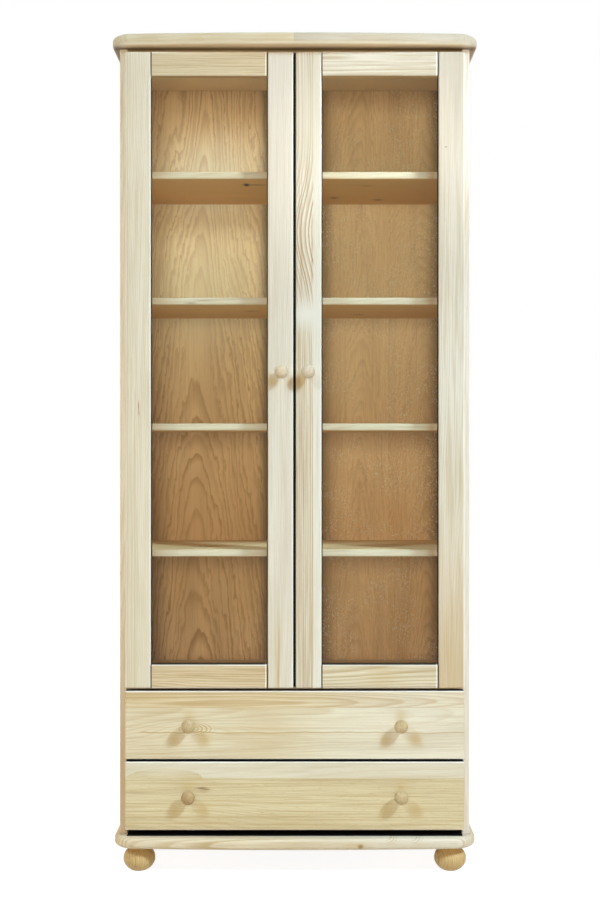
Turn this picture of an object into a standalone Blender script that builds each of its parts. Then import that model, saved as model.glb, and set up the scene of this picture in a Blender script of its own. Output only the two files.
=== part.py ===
"""Glazed display cabinet in solid pine: two doors, five shelf bays, two drawers, four bun feet.

Metres, +Z up, the front faces -Y. The origin is on the floor, in the middle of the cabinet's
width and in the middle of its depth, counted from the rear edge to the noses of the knobs.
The doors turn on the empties at their hinge pins, and the drawers slide on theirs along -Y.
"""

import math

import bmesh
import bpy
from mathutils import Matrix, Vector

# Carcass
CABINET_HEIGHT = 1.950
CARCASS_WIDTH = 0.820
CARCASS_DEPTH = 0.350
SIDE_THICKNESS = 0.018
SIDE_EDGE_RADIUS = 0.003
SEAT_GAP = 0.0003
OVERRUN = 0.002

# Top board and base board
TOP_BOARD_WIDTH = 0.856
BASE_BOARD_WIDTH = 0.846
BOARD_THICKNESS = 0.027
BOARD_PROJECTION = 0.048
BOARD_BOW = 0.012
BOARD_CORNER_RADIUS = 0.052
BOARD_NOSE_RADIUS = 0.010
WELD_DISTANCE = 0.00001

# Dowels of the carcass, as places along the carcass depth
DOWEL_RADIUS = 0.004
DOWEL_LENGTH = 0.012
DECK_DOWEL_LENGTH = 0.010
DOWEL_ROOT = 0.006
DOWEL_DEPTH_SHARES = (0.14, 0.50, 0.86)

# Back panel, deck over the drawers, shelves and their pins
BACK_THICKNESS = 0.004
BACK_INSET = 0.008
BACK_GROOVE_DEPTH = 0.006
DECK_THICKNESS = 0.017
DECK_SETBACK = 0.001
DECK_OVER_DOOR_EDGE = 0.0064
SHELF_COUNT = 4
SHELF_THICKNESS = 0.017
SHELF_SETBACK = 0.026
SHELF_EDGE_RADIUS = 0.003
SHELF_PLAY = 0.0005
FIRST_BAY_HEIGHT = 0.296
SHELF_PIN_RADIUS = 0.0025
SHELF_PIN_LENGTH = 0.008
SHELF_PIN_ROOT = 0.005
SHELF_PIN_DEPTH_SHARES = (0.12, 0.88)

# Bun feet
FOOT_HEIGHT = 0.0586
FOOT_RADIUS = 0.0375
FOOT_PAD_RADIUS = 0.020
FOOT_BELLY_HEIGHT = 0.026
FOOT_COLLAR_RADIUS = 0.022
FOOT_TENON_RADIUS = 0.010
FOOT_TENON_LENGTH = 0.015
FOOT_SIDE_INSET = 0.0575
FOOT_END_INSET = 0.060

# Doors and drawer fronts
FRONT_THICKNESS = 0.020
FRONT_CLEARANCE = 0.003
FRONT_SIDE_MARGIN = 0.015
FRONT_EDGE_RADIUS = 0.003
FRONT_GAP = 0.005
BASE_GAP = 0.014
DOOR_TOP_GAP = 0.012
MEETING_GAP = 0.005
STILE_WIDTH = 0.060
RAIL_WIDTH = 0.056
TENON_LENGTH = 0.025
TENON_THICKNESS = 0.007
TENON_INNER_SHOULDER = 0.012
TENON_OUTER_SHOULDER = 0.008

# Glazing
GLASS_THICKNESS = 0.004
GLASS_LIP = 0.008
GLASS_EDGE_PLAY = 0.001
REBATE_WIDTH = 0.009

# Drawers and their runners
DRAWER_FRONT_HEIGHT = 0.160
DRAWER_SIDE_THICKNESS = 0.015
DRAWER_SIDE_GAP = 0.005
DRAWER_FOOT_MARGIN = 0.014
DRAWER_HEAD_MARGIN = 0.026
DRAWER_BACK_CLEARANCE = 0.0205
DRAWER_HOUSING_DEPTH = 0.006
DRAWER_BOTTOM_THICKNESS = 0.004
DRAWER_BOTTOM_RISE = 0.010
DRAWER_BOTTOM_BITE = 0.005
RUNNER_HEIGHT = 0.016
RUNNER_LENGTH = 0.300
RUNNER_SETBACK = 0.006
RUNNER_GROOVE_DEPTH = 0.0075
RUNNER_SIDE_PLAY = 0.001
RUNNER_UNDER_PLAY = 0.0007

# Knobs
KNOB_RADIUS = 0.016
KNOB_PROJECTION = 0.032
KNOB_HEAD_DEPTH = 0.023
KNOB_NECK_RADIUS = 0.0075
KNOB_FOOT_RADIUS = 0.0095
KNOB_TENON_RADIUS = 0.004
KNOB_TENON_LENGTH = 0.012
DOOR_KNOB_INSET = 0.0285
DOOR_KNOB_DROP = 0.005
DRAWER_KNOB_INSET = 0.1485

# Hinges with one pin inside a round cup, three to a door
HINGE_END_DISTANCE = 0.100
HINGE_PIN_INSET = 0.008
HINGE_PIN_DEPTH = 0.007
HINGE_PIN_RADIUS = 0.0015
CUP_RADIUS = 0.0175
CUP_DEPTH = 0.0115
CUP_WALL = 0.001
CUP_EDGE_DISTANCE = 0.003
CUP_RIM_HEIGHT = 0.001
CUP_NOTCH_WIDTH = 0.018
CUP_NOTCH_DEPTH = 0.0005
EAR_THICKNESS = 0.0012
EAR_WIDTH = 0.016
EAR_SPAN = 0.053
KNUCKLE_BORE_RADIUS = 0.0019
KNUCKLE_RADIUS = 0.0027
KNUCKLE_LENGTH = 0.010
ARM_WIDTH = 0.009
ARM_THICKNESS = 0.0025
ARM_OFFSET = 0.0105
ARM_LENGTH = 0.0625
SADDLE_WIDTH = 0.007
SADDLE_LENGTH = 0.030
SADDLE_BITE = 0.001
PLATE_THICKNESS = 0.003
PLATE_SPAN = 0.050
PLATE_LENGTH = 0.018
PLATE_CENTRE = 0.048

# Facets of the round shapes
TURNED_STEPS = 24
KNOB_STEPS = 20
HEAD_STEPS = 8
NECK_STEPS = 3
BELLY_STEPS = 9
BOW_STEPS = 12
CORNER_STEPS = 7
NOSE_SEGMENTS = 4
EDGE_SEGMENTS = 2
ROD_SIDES = 12
CUP_SIDES = 24
TENON_SIDES = 16

# Finishes: base colour, roughness, metallic
PINE = ((0.76, 0.66, 0.47), 0.55, 0.0)
PALE_PINE = ((0.80, 0.73, 0.58), 0.55, 0.0)
TURNED_PINE = ((0.72, 0.60, 0.40), 0.50, 0.0)
PLYWOOD = ((0.60, 0.42, 0.22), 0.60, 0.0)
GLASS = ((0.93, 0.97, 0.95), 0.05, 0.0)
STEEL = ((0.62, 0.62, 0.63), 0.30, 1.0)

# Planes of depth, from the rear edge to the noses of the knobs
overall_depth = CARCASS_DEPTH + FRONT_CLEARANCE + FRONT_THICKNESS + KNOB_PROJECTION
rear = overall_depth / 2
carcass_front = rear - CARCASS_DEPTH
front_back = carcass_front - FRONT_CLEARANCE
front_face = front_back - FRONT_THICKNESS
board_front = carcass_front - BOARD_PROJECTION
back_face = rear - BACK_INSET - BACK_THICKNESS
shelf_front = carcass_front + SHELF_SETBACK
shelf_rear = back_face - SHELF_PLAY

# Planes of width, as distances from the middle
side_outer = CARCASS_WIDTH / 2
side_inner = side_outer - SIDE_THICKNESS
front_edge = side_outer - FRONT_SIDE_MARGIN
meeting_edge = MEETING_GAP / 2

# Heights
base_top = FOOT_HEIGHT + BOARD_THICKNESS
ceiling = CABINET_HEIGHT - BOARD_THICKNESS
drawer_bottoms = (base_top + BASE_GAP, base_top + BASE_GAP + DRAWER_FRONT_HEIGHT + FRONT_GAP)
door_bottom = drawer_bottoms[1] + DRAWER_FRONT_HEIGHT + FRONT_GAP
door_top = ceiling - DOOR_TOP_GAP
deck_top = door_bottom + DECK_OVER_DOOR_EDGE
deck_bottom = deck_top - DECK_THICKNESS
upper_bays = ceiling - deck_top - FIRST_BAY_HEIGHT
shelf_pitch = upper_bays / SHELF_COUNT
shelf_bottoms = [deck_top + FIRST_BAY_HEIGHT + shelf_pitch * step for step in range(SHELF_COUNT)]
middle_shelf_top = shelf_bottoms[1] + SHELF_THICKNESS
middle_hinge_height = (middle_shelf_top + shelf_bottoms[2]) / 2
hinge_heights = (door_bottom + HINGE_END_DISTANCE, middle_hinge_height, door_top - HINGE_END_DISTANCE)
knob_height = (door_bottom + door_top) / 2 - DOOR_KNOB_DROP

# The hinge pin, and what lies round it in the hinge's own frame: x points in from the
# door's outer edge and y to the back of the cabinet
pin_x = front_edge - HINGE_PIN_INSET
pin_y = front_back - HINGE_PIN_DEPTH
cup_centre = CUP_EDGE_DISTANCE + CUP_RADIUS - HINGE_PIN_INSET

SIDES = {"left": -1, "right": 1}


def clear_scene():
    """Remove the objects that a new file starts with."""
    for old in list(bpy.data.objects):
        bpy.data.objects.remove(old, do_unlink=True)


def get_collection(name):
    """The scene's collection of that name, made if it is new."""
    collection = bpy.data.collections.get(name)
    if collection is None:
        collection = bpy.data.collections.new(name)
        bpy.context.scene.collection.children.link(collection)
    return collection


clear_scene()
CABINET = get_collection("display_cabinet")
TOOLS = get_collection("cutters")


def finish_material(name, finish):
    """A plain material for one piece."""
    colour, roughness, metallic = finish
    material = bpy.data.materials.new(name + "_finish")
    material.use_nodes = True
    shader = material.node_tree.nodes["Principled BSDF"]
    shader.inputs["Base Color"].default_value = (*colour, 1.0)
    shader.inputs["Roughness"].default_value = roughness
    shader.inputs["Metallic"].default_value = metallic
    return material


def place(name, mesh, location, finish, parent=None):
    """Put a mesh into the cabinet as a named piece, at a place in the cabinet's frame."""
    piece = bpy.data.objects.new(name, mesh)
    CABINET.objects.link(piece)
    piece.parent = parent
    piece.location = Vector(location) - (parent.location if parent else Vector())
    mesh.materials.clear()
    mesh.materials.append(finish_material(name, finish))
    return piece


def joint_axis(name, location):
    """An empty on a joint's axis, which carries the pieces that move with the joint."""
    empty = bpy.data.objects.new(name, None)
    empty.location = location
    CABINET.objects.link(empty)
    return empty


def mesh_of(name, shape):
    """Write a bmesh to a new mesh."""
    mesh = bpy.data.meshes.new(name)
    bmesh.ops.recalc_face_normals(shape, faces=shape.faces)
    shape.to_mesh(mesh)
    shape.free()
    return mesh


def evaluated_mesh(piece):
    """A copy of an object's mesh with its modifiers applied."""
    bpy.context.view_layer.update()
    graph = bpy.context.evaluated_depsgraph_get()
    return bpy.data.meshes.new_from_object(piece.evaluated_get(graph))


def add_box(shape, low, high):
    """Add a box between two corners to a bmesh."""
    low = Vector(low)
    high = Vector(high)
    matrix = Matrix.Translation((low + high) / 2) @ Matrix.Diagonal((*(high - low), 1.0))
    bmesh.ops.create_cube(shape, size=1.0, matrix=matrix)


def add_rod(shape, start, end, radius, sides):
    """Add a closed cylinder between two points to a bmesh."""
    start = Vector(start)
    end = Vector(end)
    turn = (end - start).to_track_quat("Z", "Y").to_matrix().to_4x4()
    bmesh.ops.create_cone(
        shape, cap_ends=True, segments=sides, radius1=radius, radius2=radius,
        depth=(end - start).length, matrix=Matrix.Translation((start + end) / 2) @ turn)


def ordered_box(first, second):
    """The low and high corners of the box that two opposite corners span."""
    low = [min(pair) for pair in zip(first, second)]
    high = [max(pair) for pair in zip(first, second)]
    return low, high


def tool_object(name, shape, parent=None):
    """A hidden tool that cuts or joins, made from a bmesh in the cabinet's frame."""
    tool = bpy.data.objects.new(name, mesh_of(name, shape))
    TOOLS.objects.link(tool)
    tool.parent = parent
    tool.location = -parent.location if parent else Vector()
    tool.hide_render = True
    tool.display_type = "WIRE"
    return tool


def combine(piece, tool, operation):
    """Cut a piece by a tool, or join the tool to it."""
    modifier = piece.modifiers.new(tool.name, "BOOLEAN")
    modifier.operation = operation
    modifier.solver = "EXACT"
    modifier.object = tool


def edge_axis(edge):
    """The letter of the axis that an edge of a box runs along."""
    direction = edge.verts[1].co - edge.verts[0].co
    return "XYZ"[max(range(3), key=lambda axis: abs(direction[axis]))]


def round_edges(piece, radius, segments):
    """Round the weighted edges of a piece."""
    bevel = piece.modifiers.new("Rounded edges", "BEVEL")
    bevel.width = radius
    bevel.segments = segments
    bevel.limit_method = "WEIGHT"


def board(name, low, high, finish, parent=None, radius=0, along="XYZ", front_only=False):
    """A square board between two corners, with its edges along the named axes rounded."""
    low, high = ordered_box(low, high)
    centre = (Vector(low) + Vector(high)) / 2
    shape = bmesh.new()
    add_box(shape, Vector(low) - centre, Vector(high) - centre)
    weights = shape.edges.layers.float.new("bevel_weight_edge")
    for edge in shape.edges:
        in_front = edge.verts[0].co.y < 0 and edge.verts[1].co.y < 0
        rounded = edge_axis(edge) in along and (in_front or not front_only)
        edge[weights] = float(rounded)
    piece = place(name, mesh_of(name, shape), centre, finish, parent)
    if radius:
        round_edges(piece, radius, EDGE_SEGMENTS)
    return piece


def arc(centre, radius, start, end, steps):
    """Points on an arc; the angle is counted from straight forward, towards +X."""
    angles = [start + (end - start) * step / steps for step in range(steps + 1)]
    return [(centre[0] + radius * math.sin(angle), centre[1] - radius * math.cos(angle))
            for angle in angles]


def bow_front_outline(width):
    """The plan of a bow-fronted board: a shallow arc, two round corners and a straight rear."""
    half = width / 2
    bow_radius = (half ** 2 + BOARD_BOW ** 2) / (2 * BOARD_BOW)
    bow_centre = board_front + bow_radius
    corner_x = half - BOARD_CORNER_RADIUS
    reach = bow_radius - BOARD_CORNER_RADIUS
    corner_y = bow_centre - math.sqrt(reach ** 2 - corner_x ** 2)
    turn = math.asin(corner_x / reach)
    square = math.pi / 2
    left = arc((-corner_x, corner_y), BOARD_CORNER_RADIUS, -square, -turn, CORNER_STEPS)
    front = arc((0, bow_centre), bow_radius, -turn, turn, BOW_STEPS)
    right = arc((corner_x, corner_y), BOARD_CORNER_RADIUS, turn, square, CORNER_STEPS)
    return [(-half, rear)] + left + front[1:-1] + right + [(half, rear)]


def extruded_mesh(name, outline, thickness):
    """A flat outline in the XY plane, as thick as given about that plane."""
    curve = bpy.data.curves.new(name, "CURVE")
    curve.dimensions = "2D"
    curve.fill_mode = "BOTH"
    curve.extrude = thickness / 2
    spline = curve.splines.new("POLY")
    spline.points.add(len(outline) - 1)
    for point, (x, y) in zip(spline.points, outline):
        point.co = (x, y, 0, 1)
    spline.use_cyclic_u = True
    source = bpy.data.objects.new(name + "_outline", curve)
    TOOLS.objects.link(source)
    mesh = evaluated_mesh(source)
    bpy.data.objects.remove(source, do_unlink=True)
    shape = bmesh.new()
    shape.from_mesh(mesh)
    bmesh.ops.remove_doubles(shape, verts=shape.verts, dist=WELD_DISTANCE)
    bmesh.ops.dissolve_limit(shape, angle_limit=math.radians(0.1), verts=shape.verts, edges=shape.edges)
    return mesh_of(name, shape)


def bow_front_board(name, width, bottom):
    """A board with a bowed, nosed front edge, which overhangs the carcass at the front and ends."""
    mesh = extruded_mesh(name, bow_front_outline(width), BOARD_THICKNESS)
    shape = bmesh.new()
    shape.from_mesh(mesh)
    weights = shape.edges.layers.float.new("bevel_weight_edge")
    for edge in shape.edges:
        first, second = (vertex.co for vertex in edge.verts)
        flat = abs(first.z - second.z) < WELD_DISTANCE
        at_rear = max(abs(first.y - rear), abs(second.y - rear)) < WELD_DISTANCE
        edge[weights] = float(flat and not at_rear)
    mesh = mesh_of(name, shape)
    mesh.shade_smooth()
    mesh.set_sharp_from_angle(angle=math.radians(40))
    piece = place(name, mesh, (0, 0, bottom + BOARD_THICKNESS / 2), PINE)
    round_edges(piece, BOARD_NOSE_RADIUS, NOSE_SEGMENTS)
    return piece


def turned_piece(name, profile, steps, location, finish, parent=None):
    """A turned piece: a profile of radius and height, from its top down, about its own Z."""
    shape = bmesh.new()
    points = [shape.verts.new((radius, 0, height)) for radius, height in profile]
    for first, second in zip(points, points[1:]):
        shape.edges.new((first, second))
    mesh = bpy.data.meshes.new(name)
    shape.to_mesh(mesh)
    shape.free()
    piece = place(name, mesh, location, finish, parent)
    screw = piece.modifiers.new("Turned", "SCREW")
    screw.axis = "Z"
    screw.steps = steps
    screw.render_steps = steps
    screw.use_merge_vertices = True
    screw.merge_threshold = WELD_DISTANCE
    screw.use_normal_calculate = True
    screw.use_smooth_shade = True
    return piece


def foot_profile():
    """A squashed ball on a flat pad, with a collar and a tenon on top."""
    belly_rise = FOOT_BELLY_HEIGHT / math.sqrt(1 - (FOOT_PAD_RADIUS / FOOT_RADIUS) ** 2)
    start = math.acos(FOOT_COLLAR_RADIUS / FOOT_RADIUS)
    end = -math.acos(FOOT_PAD_RADIUS / FOOT_RADIUS)
    seat = FOOT_HEIGHT - SEAT_GAP
    tenon_top = FOOT_HEIGHT + FOOT_TENON_LENGTH
    profile = [(0, tenon_top), (FOOT_TENON_RADIUS, tenon_top), (FOOT_TENON_RADIUS, seat)]
    profile.append((FOOT_COLLAR_RADIUS, seat))
    for step in range(BELLY_STEPS + 1):
        angle = start + (end - start) * step / BELLY_STEPS
        height = FOOT_BELLY_HEIGHT + belly_rise * math.sin(angle)
        profile.append((FOOT_RADIUS * math.cos(angle), max(height, 0)))
    profile.append((0, 0))
    return profile


def foot_places():
    """The feet's names and centres."""
    spread = BASE_BOARD_WIDTH / 2 - FOOT_SIDE_INSET
    rows = {"front": board_front + FOOT_END_INSET, "rear": rear - FOOT_END_INSET}
    return {f"foot_{row}_{side}": (sign * spread, y) for row, y in rows.items()
            for side, sign in SIDES.items()}


def knob_profile():
    """A squashed ball on a neck that flares to its foot, with a tenon behind."""
    head_half = KNOB_HEAD_DEPTH / 2
    centre = KNOB_PROJECTION - head_half
    end = -math.acos(KNOB_NECK_RADIUS / KNOB_RADIUS)
    top = math.pi / 2
    profile = [(0, KNOB_PROJECTION)]
    for step in range(1, HEAD_STEPS + 1):
        angle = top + (end - top) * step / HEAD_STEPS
        profile.append((KNOB_RADIUS * math.cos(angle), centre + head_half * math.sin(angle)))
    neck_top = profile[-1][1]
    for step in range(1, NECK_STEPS + 1):
        share = step / NECK_STEPS
        radius = KNOB_NECK_RADIUS + (KNOB_FOOT_RADIUS - KNOB_NECK_RADIUS) * share ** 2
        profile.append((radius, neck_top + (SEAT_GAP - neck_top) * share))
    profile.append((KNOB_TENON_RADIUS, SEAT_GAP))
    profile.append((KNOB_TENON_RADIUS, -KNOB_TENON_LENGTH))
    profile.append((0, -KNOB_TENON_LENGTH))
    return profile


def knob(name, x, z, parent):
    """A knob on a door or drawer front."""
    piece = turned_piece(name, knob_profile(), KNOB_STEPS, (x, front_face, z), TURNED_PINE, parent)
    piece.rotation_euler = (math.pi / 2, 0, 0)


def add_knob_bore(shape, x, z):
    """Add the hole for a knob's tenon to a tool."""
    end = front_face + KNOB_TENON_LENGTH + SEAT_GAP
    add_rod(shape, (x, front_face - OVERRUN, z), (x, end, z), KNOB_TENON_RADIUS + SEAT_GAP, TENON_SIDES)


def dowel_depths():
    """Where the dowels stand along the carcass depth."""
    return [carcass_front + CARCASS_DEPTH * share for share in DOWEL_DEPTH_SHARES]


def add_dowel_bores(shape, surface, depth):
    """Add the holes for the dowels of both sides to a tool, from a board's face into it."""
    mouth = surface - math.copysign(OVERRUN, depth)
    for sign in SIDES.values():
        for y in dowel_depths():
            x = sign * (side_outer - SIDE_THICKNESS / 2)
            add_rod(shape, (x, y, mouth), (x, y, surface + depth), DOWEL_RADIUS + SEAT_GAP, ROD_SIDES)


def build_boards():
    """The top board, and the base board with its feet."""
    top_board = bow_front_board("top_board", TOP_BOARD_WIDTH, ceiling)
    shape = bmesh.new()
    add_dowel_bores(shape, ceiling, DOWEL_LENGTH + SEAT_GAP)
    combine(top_board, tool_object("top_board_bores", shape), "DIFFERENCE")

    base_board = bow_front_board("base_board", BASE_BOARD_WIDTH, FOOT_HEIGHT)
    shape = bmesh.new()
    add_dowel_bores(shape, base_top, -DOWEL_LENGTH - SEAT_GAP)
    for name, (x, y) in foot_places().items():
        turned_piece(name, foot_profile(), TURNED_STEPS, (x, y, 0), TURNED_PINE)
        end = FOOT_HEIGHT + FOOT_TENON_LENGTH + SEAT_GAP
        add_rod(shape, (x, y, FOOT_HEIGHT - OVERRUN), (x, y, end), FOOT_TENON_RADIUS + SEAT_GAP, TENON_SIDES)
    combine(base_board, tool_object("base_board_bores", shape), "DIFFERENCE")


def build_side(side, sign):
    """A side panel with its dowels and shelf pins, grooved for the back and bored for the deck."""
    bottom = base_top + SEAT_GAP
    top = ceiling - SEAT_GAP
    panel = board(
        f"side_panel_{side}", (sign * side_outer, carcass_front, bottom), (sign * side_inner, rear, top),
        PINE, radius=SIDE_EDGE_RADIUS, along="Z", front_only=True)

    joined = bmesh.new()
    middle = sign * (side_outer - SIDE_THICKNESS / 2)
    for y in dowel_depths():
        add_rod(joined, (middle, y, top - DOWEL_ROOT), (middle, y, ceiling + DOWEL_LENGTH),
                DOWEL_RADIUS, ROD_SIDES)
        add_rod(joined, (middle, y, base_top - DOWEL_LENGTH), (middle, y, bottom + DOWEL_ROOT),
                DOWEL_RADIUS, ROD_SIDES)
    root = sign * (side_inner + SHELF_PIN_ROOT)
    tip = sign * (side_inner - SHELF_PIN_LENGTH)
    for shelf_bottom in shelf_bottoms:
        z = shelf_bottom - SEAT_GAP - SHELF_PIN_RADIUS
        for share in SHELF_PIN_DEPTH_SHARES:
            y = shelf_front + (shelf_rear - shelf_front) * share
            add_rod(joined, (root, y, z), (tip, y, z), SHELF_PIN_RADIUS, ROD_SIDES)
    combine(panel, tool_object(f"side_{side}_dowels_and_pins", joined), "UNION")

    cuts = bmesh.new()
    add_box(cuts, *ordered_box(
        (sign * (side_inner + BACK_GROOVE_DEPTH), back_face - SEAT_GAP, bottom - OVERRUN),
        (sign * (side_inner - OVERRUN), back_face + BACK_THICKNESS + SEAT_GAP, top + OVERRUN)))
    z = (deck_bottom + deck_top) / 2
    for y in dowel_depths():
        add_rod(cuts, (sign * (side_inner - OVERRUN), y, z),
                (sign * (side_inner + DECK_DOWEL_LENGTH + SEAT_GAP), y, z),
                DOWEL_RADIUS + SEAT_GAP, ROD_SIDES)
    combine(panel, tool_object(f"side_{side}_groove_and_bores", cuts), "DIFFERENCE")


def build_back():
    """The plywood back, held in the grooves of the sides."""
    reach = side_inner + BACK_GROOVE_DEPTH - SEAT_GAP
    board("back_panel", (-reach, back_face, base_top + SEAT_GAP),
          (reach, back_face + BACK_THICKNESS, ceiling - SEAT_GAP), PLYWOOD)


def build_deck():
    """The fixed board between the drawers and the shelves, dowelled into the sides."""
    reach = side_inner - SEAT_GAP
    deck = board("drawer_deck", (-reach, carcass_front + DECK_SETBACK, deck_bottom),
                 (reach, shelf_rear, deck_top), PINE)
    joined = bmesh.new()
    z = (deck_bottom + deck_top) / 2
    for sign in SIDES.values():
        root = sign * (reach - DOWEL_ROOT)
        tip = sign * (side_inner + DECK_DOWEL_LENGTH)
        for y in dowel_depths():
            add_rod(joined, (root, y, z), (tip, y, z), DOWEL_RADIUS, ROD_SIDES)
    combine(deck, tool_object("deck_dowels", joined), "UNION")


def build_shelves():
    """The loose shelves, which lie on the pins of the sides."""
    reach = side_inner - SHELF_PLAY
    for number, bottom in enumerate(shelf_bottoms, start=1):
        board(f"shelf_{number}", (-reach, shelf_front, bottom), (reach, shelf_rear, bottom + SHELF_THICKNESS),
              PALE_PINE, radius=SHELF_EDGE_RADIUS, along="X", front_only=True)


def tenon_box(sign, shoulder, inner_edge, outward, play):
    """The box of a rail's tenon, or of its mortise where play is added; it starts in the rail."""
    into_stile = math.copysign(TENON_LENGTH + play, shoulder - sign * (front_edge + meeting_edge) / 2)
    middle = (front_back + front_face) / 2
    half = TENON_THICKNESS / 2 + play
    near = inner_edge + outward * (TENON_INNER_SHOULDER - play)
    far = inner_edge + outward * (RAIL_WIDTH - TENON_OUTER_SHOULDER + play)
    root = shoulder - math.copysign(OVERRUN, into_stile)
    return ordered_box((root, middle - half, near), (shoulder + into_stile, middle + half, far))


def build_door_frame(side, sign, axis):
    """The two stiles and two rails of a door, jointed, rebated and bored."""
    hinge_inner = sign * (front_edge - STILE_WIDTH)
    lock_inner = sign * (meeting_edge + STILE_WIDTH)
    opening_bottom = door_bottom + RAIL_WIDTH
    opening_top = door_top - RAIL_WIDTH
    rails = {"bottom": (opening_bottom, -1), "top": (opening_top, 1)}

    rebate = ordered_box(
        (hinge_inner + sign * REBATE_WIDTH, front_face + GLASS_LIP, opening_bottom - REBATE_WIDTH),
        (lock_inner - sign * REBATE_WIDTH, front_back + OVERRUN, opening_top + REBATE_WIDTH))

    edges = {"hinge": (sign * front_edge, hinge_inner), "lock": (sign * meeting_edge, lock_inner)}
    for stile_name, (outer, inner) in edges.items():
        stile = board(f"door_{side}_{stile_name}_stile", (outer, front_face, door_bottom),
                      (inner, front_back, door_top), PALE_PINE, axis, radius=FRONT_EDGE_RADIUS)
        cuts = bmesh.new()
        add_box(cuts, *rebate)
        for inner_edge, outward in rails.values():
            add_box(cuts, *tenon_box(sign, inner, inner_edge, outward, SEAT_GAP))
        if stile_name == "hinge":
            x = sign * pin_x - sign * cup_centre
            for z in hinge_heights:
                add_rod(cuts, (x, front_back + OVERRUN, z), (x, front_back - CUP_DEPTH - SEAT_GAP, z),
                        CUP_RADIUS + SEAT_GAP, CUP_SIDES)
        else:
            add_knob_bore(cuts, sign * (meeting_edge + DOOR_KNOB_INSET), knob_height)
        combine(stile, tool_object(f"door_{side}_{stile_name}_cuts", cuts, axis), "DIFFERENCE")

    for rail_name, (inner_edge, outward) in rails.items():
        rail = board(
            f"door_{side}_{rail_name}_rail",
            (hinge_inner - sign * SEAT_GAP, front_face, inner_edge),
            (lock_inner + sign * SEAT_GAP, front_back, inner_edge + outward * RAIL_WIDTH),
            PALE_PINE, axis, radius=FRONT_EDGE_RADIUS, along="X")
        cuts = bmesh.new()
        add_box(cuts, *rebate)
        combine(rail, tool_object(f"door_{side}_{rail_name}_rebate", cuts, axis), "DIFFERENCE")
        joined = bmesh.new()
        for shoulder in (hinge_inner, lock_inner):
            add_box(joined, *tenon_box(sign, shoulder, inner_edge, outward, 0))
        combine(rail, tool_object(f"door_{side}_{rail_name}_tenons", joined, axis), "UNION")


def build_glazing(side, sign, axis):
    """The pane of a door, and the bead that holds it in the rebate from behind."""
    inner_x = sign * (meeting_edge + STILE_WIDTH)
    outer_x = sign * (front_edge - STILE_WIDTH)
    opening_bottom = door_bottom + RAIL_WIDTH
    opening_top = door_top - RAIL_WIDTH
    pane_front = front_face + GLASS_LIP + SEAT_GAP
    pane_back = pane_front + GLASS_THICKNESS
    bite = REBATE_WIDTH - GLASS_EDGE_PLAY
    board(f"door_{side}_glass", (outer_x + sign * bite, pane_front, opening_bottom - bite),
          (inner_x - sign * bite, pane_back, opening_top + bite), GLASS, axis)

    seat = REBATE_WIDTH - SEAT_GAP
    bead = board(f"door_{side}_glazing_bead",
                 (outer_x + sign * seat, pane_back + SEAT_GAP, opening_bottom - seat),
                 (inner_x - sign * seat, front_back, opening_top + seat), PALE_PINE, axis)
    hole = bmesh.new()
    add_box(hole, *ordered_box((outer_x, pane_back - OVERRUN, opening_bottom),
                               (inner_x, front_back + OVERRUN, opening_top)))
    combine(bead, tool_object(f"door_{side}_bead_hole", hole, axis), "DIFFERENCE")


def hinge_cup_mesh():
    """The cup, its two ears and the pin across it, round the pin's middle."""
    face = HINGE_PIN_DEPTH
    floor = face - CUP_DEPTH
    body = bmesh.new()
    add_rod(body, (cup_centre, floor, 0), (cup_centre, face + CUP_RIM_HEIGHT, 0), CUP_RADIUS, CUP_SIDES)
    ears = bmesh.new()
    add_box(ears, (cup_centre - EAR_WIDTH / 2, face + SEAT_GAP, -EAR_SPAN / 2),
            (cup_centre + EAR_WIDTH / 2, face + SEAT_GAP + EAR_THICKNESS, EAR_SPAN / 2))
    notch = bmesh.new()
    add_box(notch, (cup_centre - CUP_RADIUS - OVERRUN, face - CUP_NOTCH_DEPTH, -CUP_NOTCH_WIDTH / 2),
            (cup_centre - EAR_WIDTH / 2, face + CUP_DEPTH, CUP_NOTCH_WIDTH / 2))

    inside = bmesh.new()
    add_rod(inside, (cup_centre, floor + CUP_WALL, 0), (cup_centre, face + CUP_DEPTH, 0),
            CUP_RADIUS - CUP_WALL, CUP_SIDES)
    pin = bmesh.new()
    add_rod(pin, (0, 0, -CUP_RADIUS), (0, 0, CUP_RADIUS), HINGE_PIN_RADIUS, ROD_SIDES)
    around_pin = bmesh.new()
    around_pin.from_mesh(combined_mesh("cup_inside", inside, [(pin, "DIFFERENCE")]))
    steps = [(ears, "UNION"), (around_pin, "DIFFERENCE"), (notch, "DIFFERENCE")]
    return combined_mesh("hinge_cup", body, steps)


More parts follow.
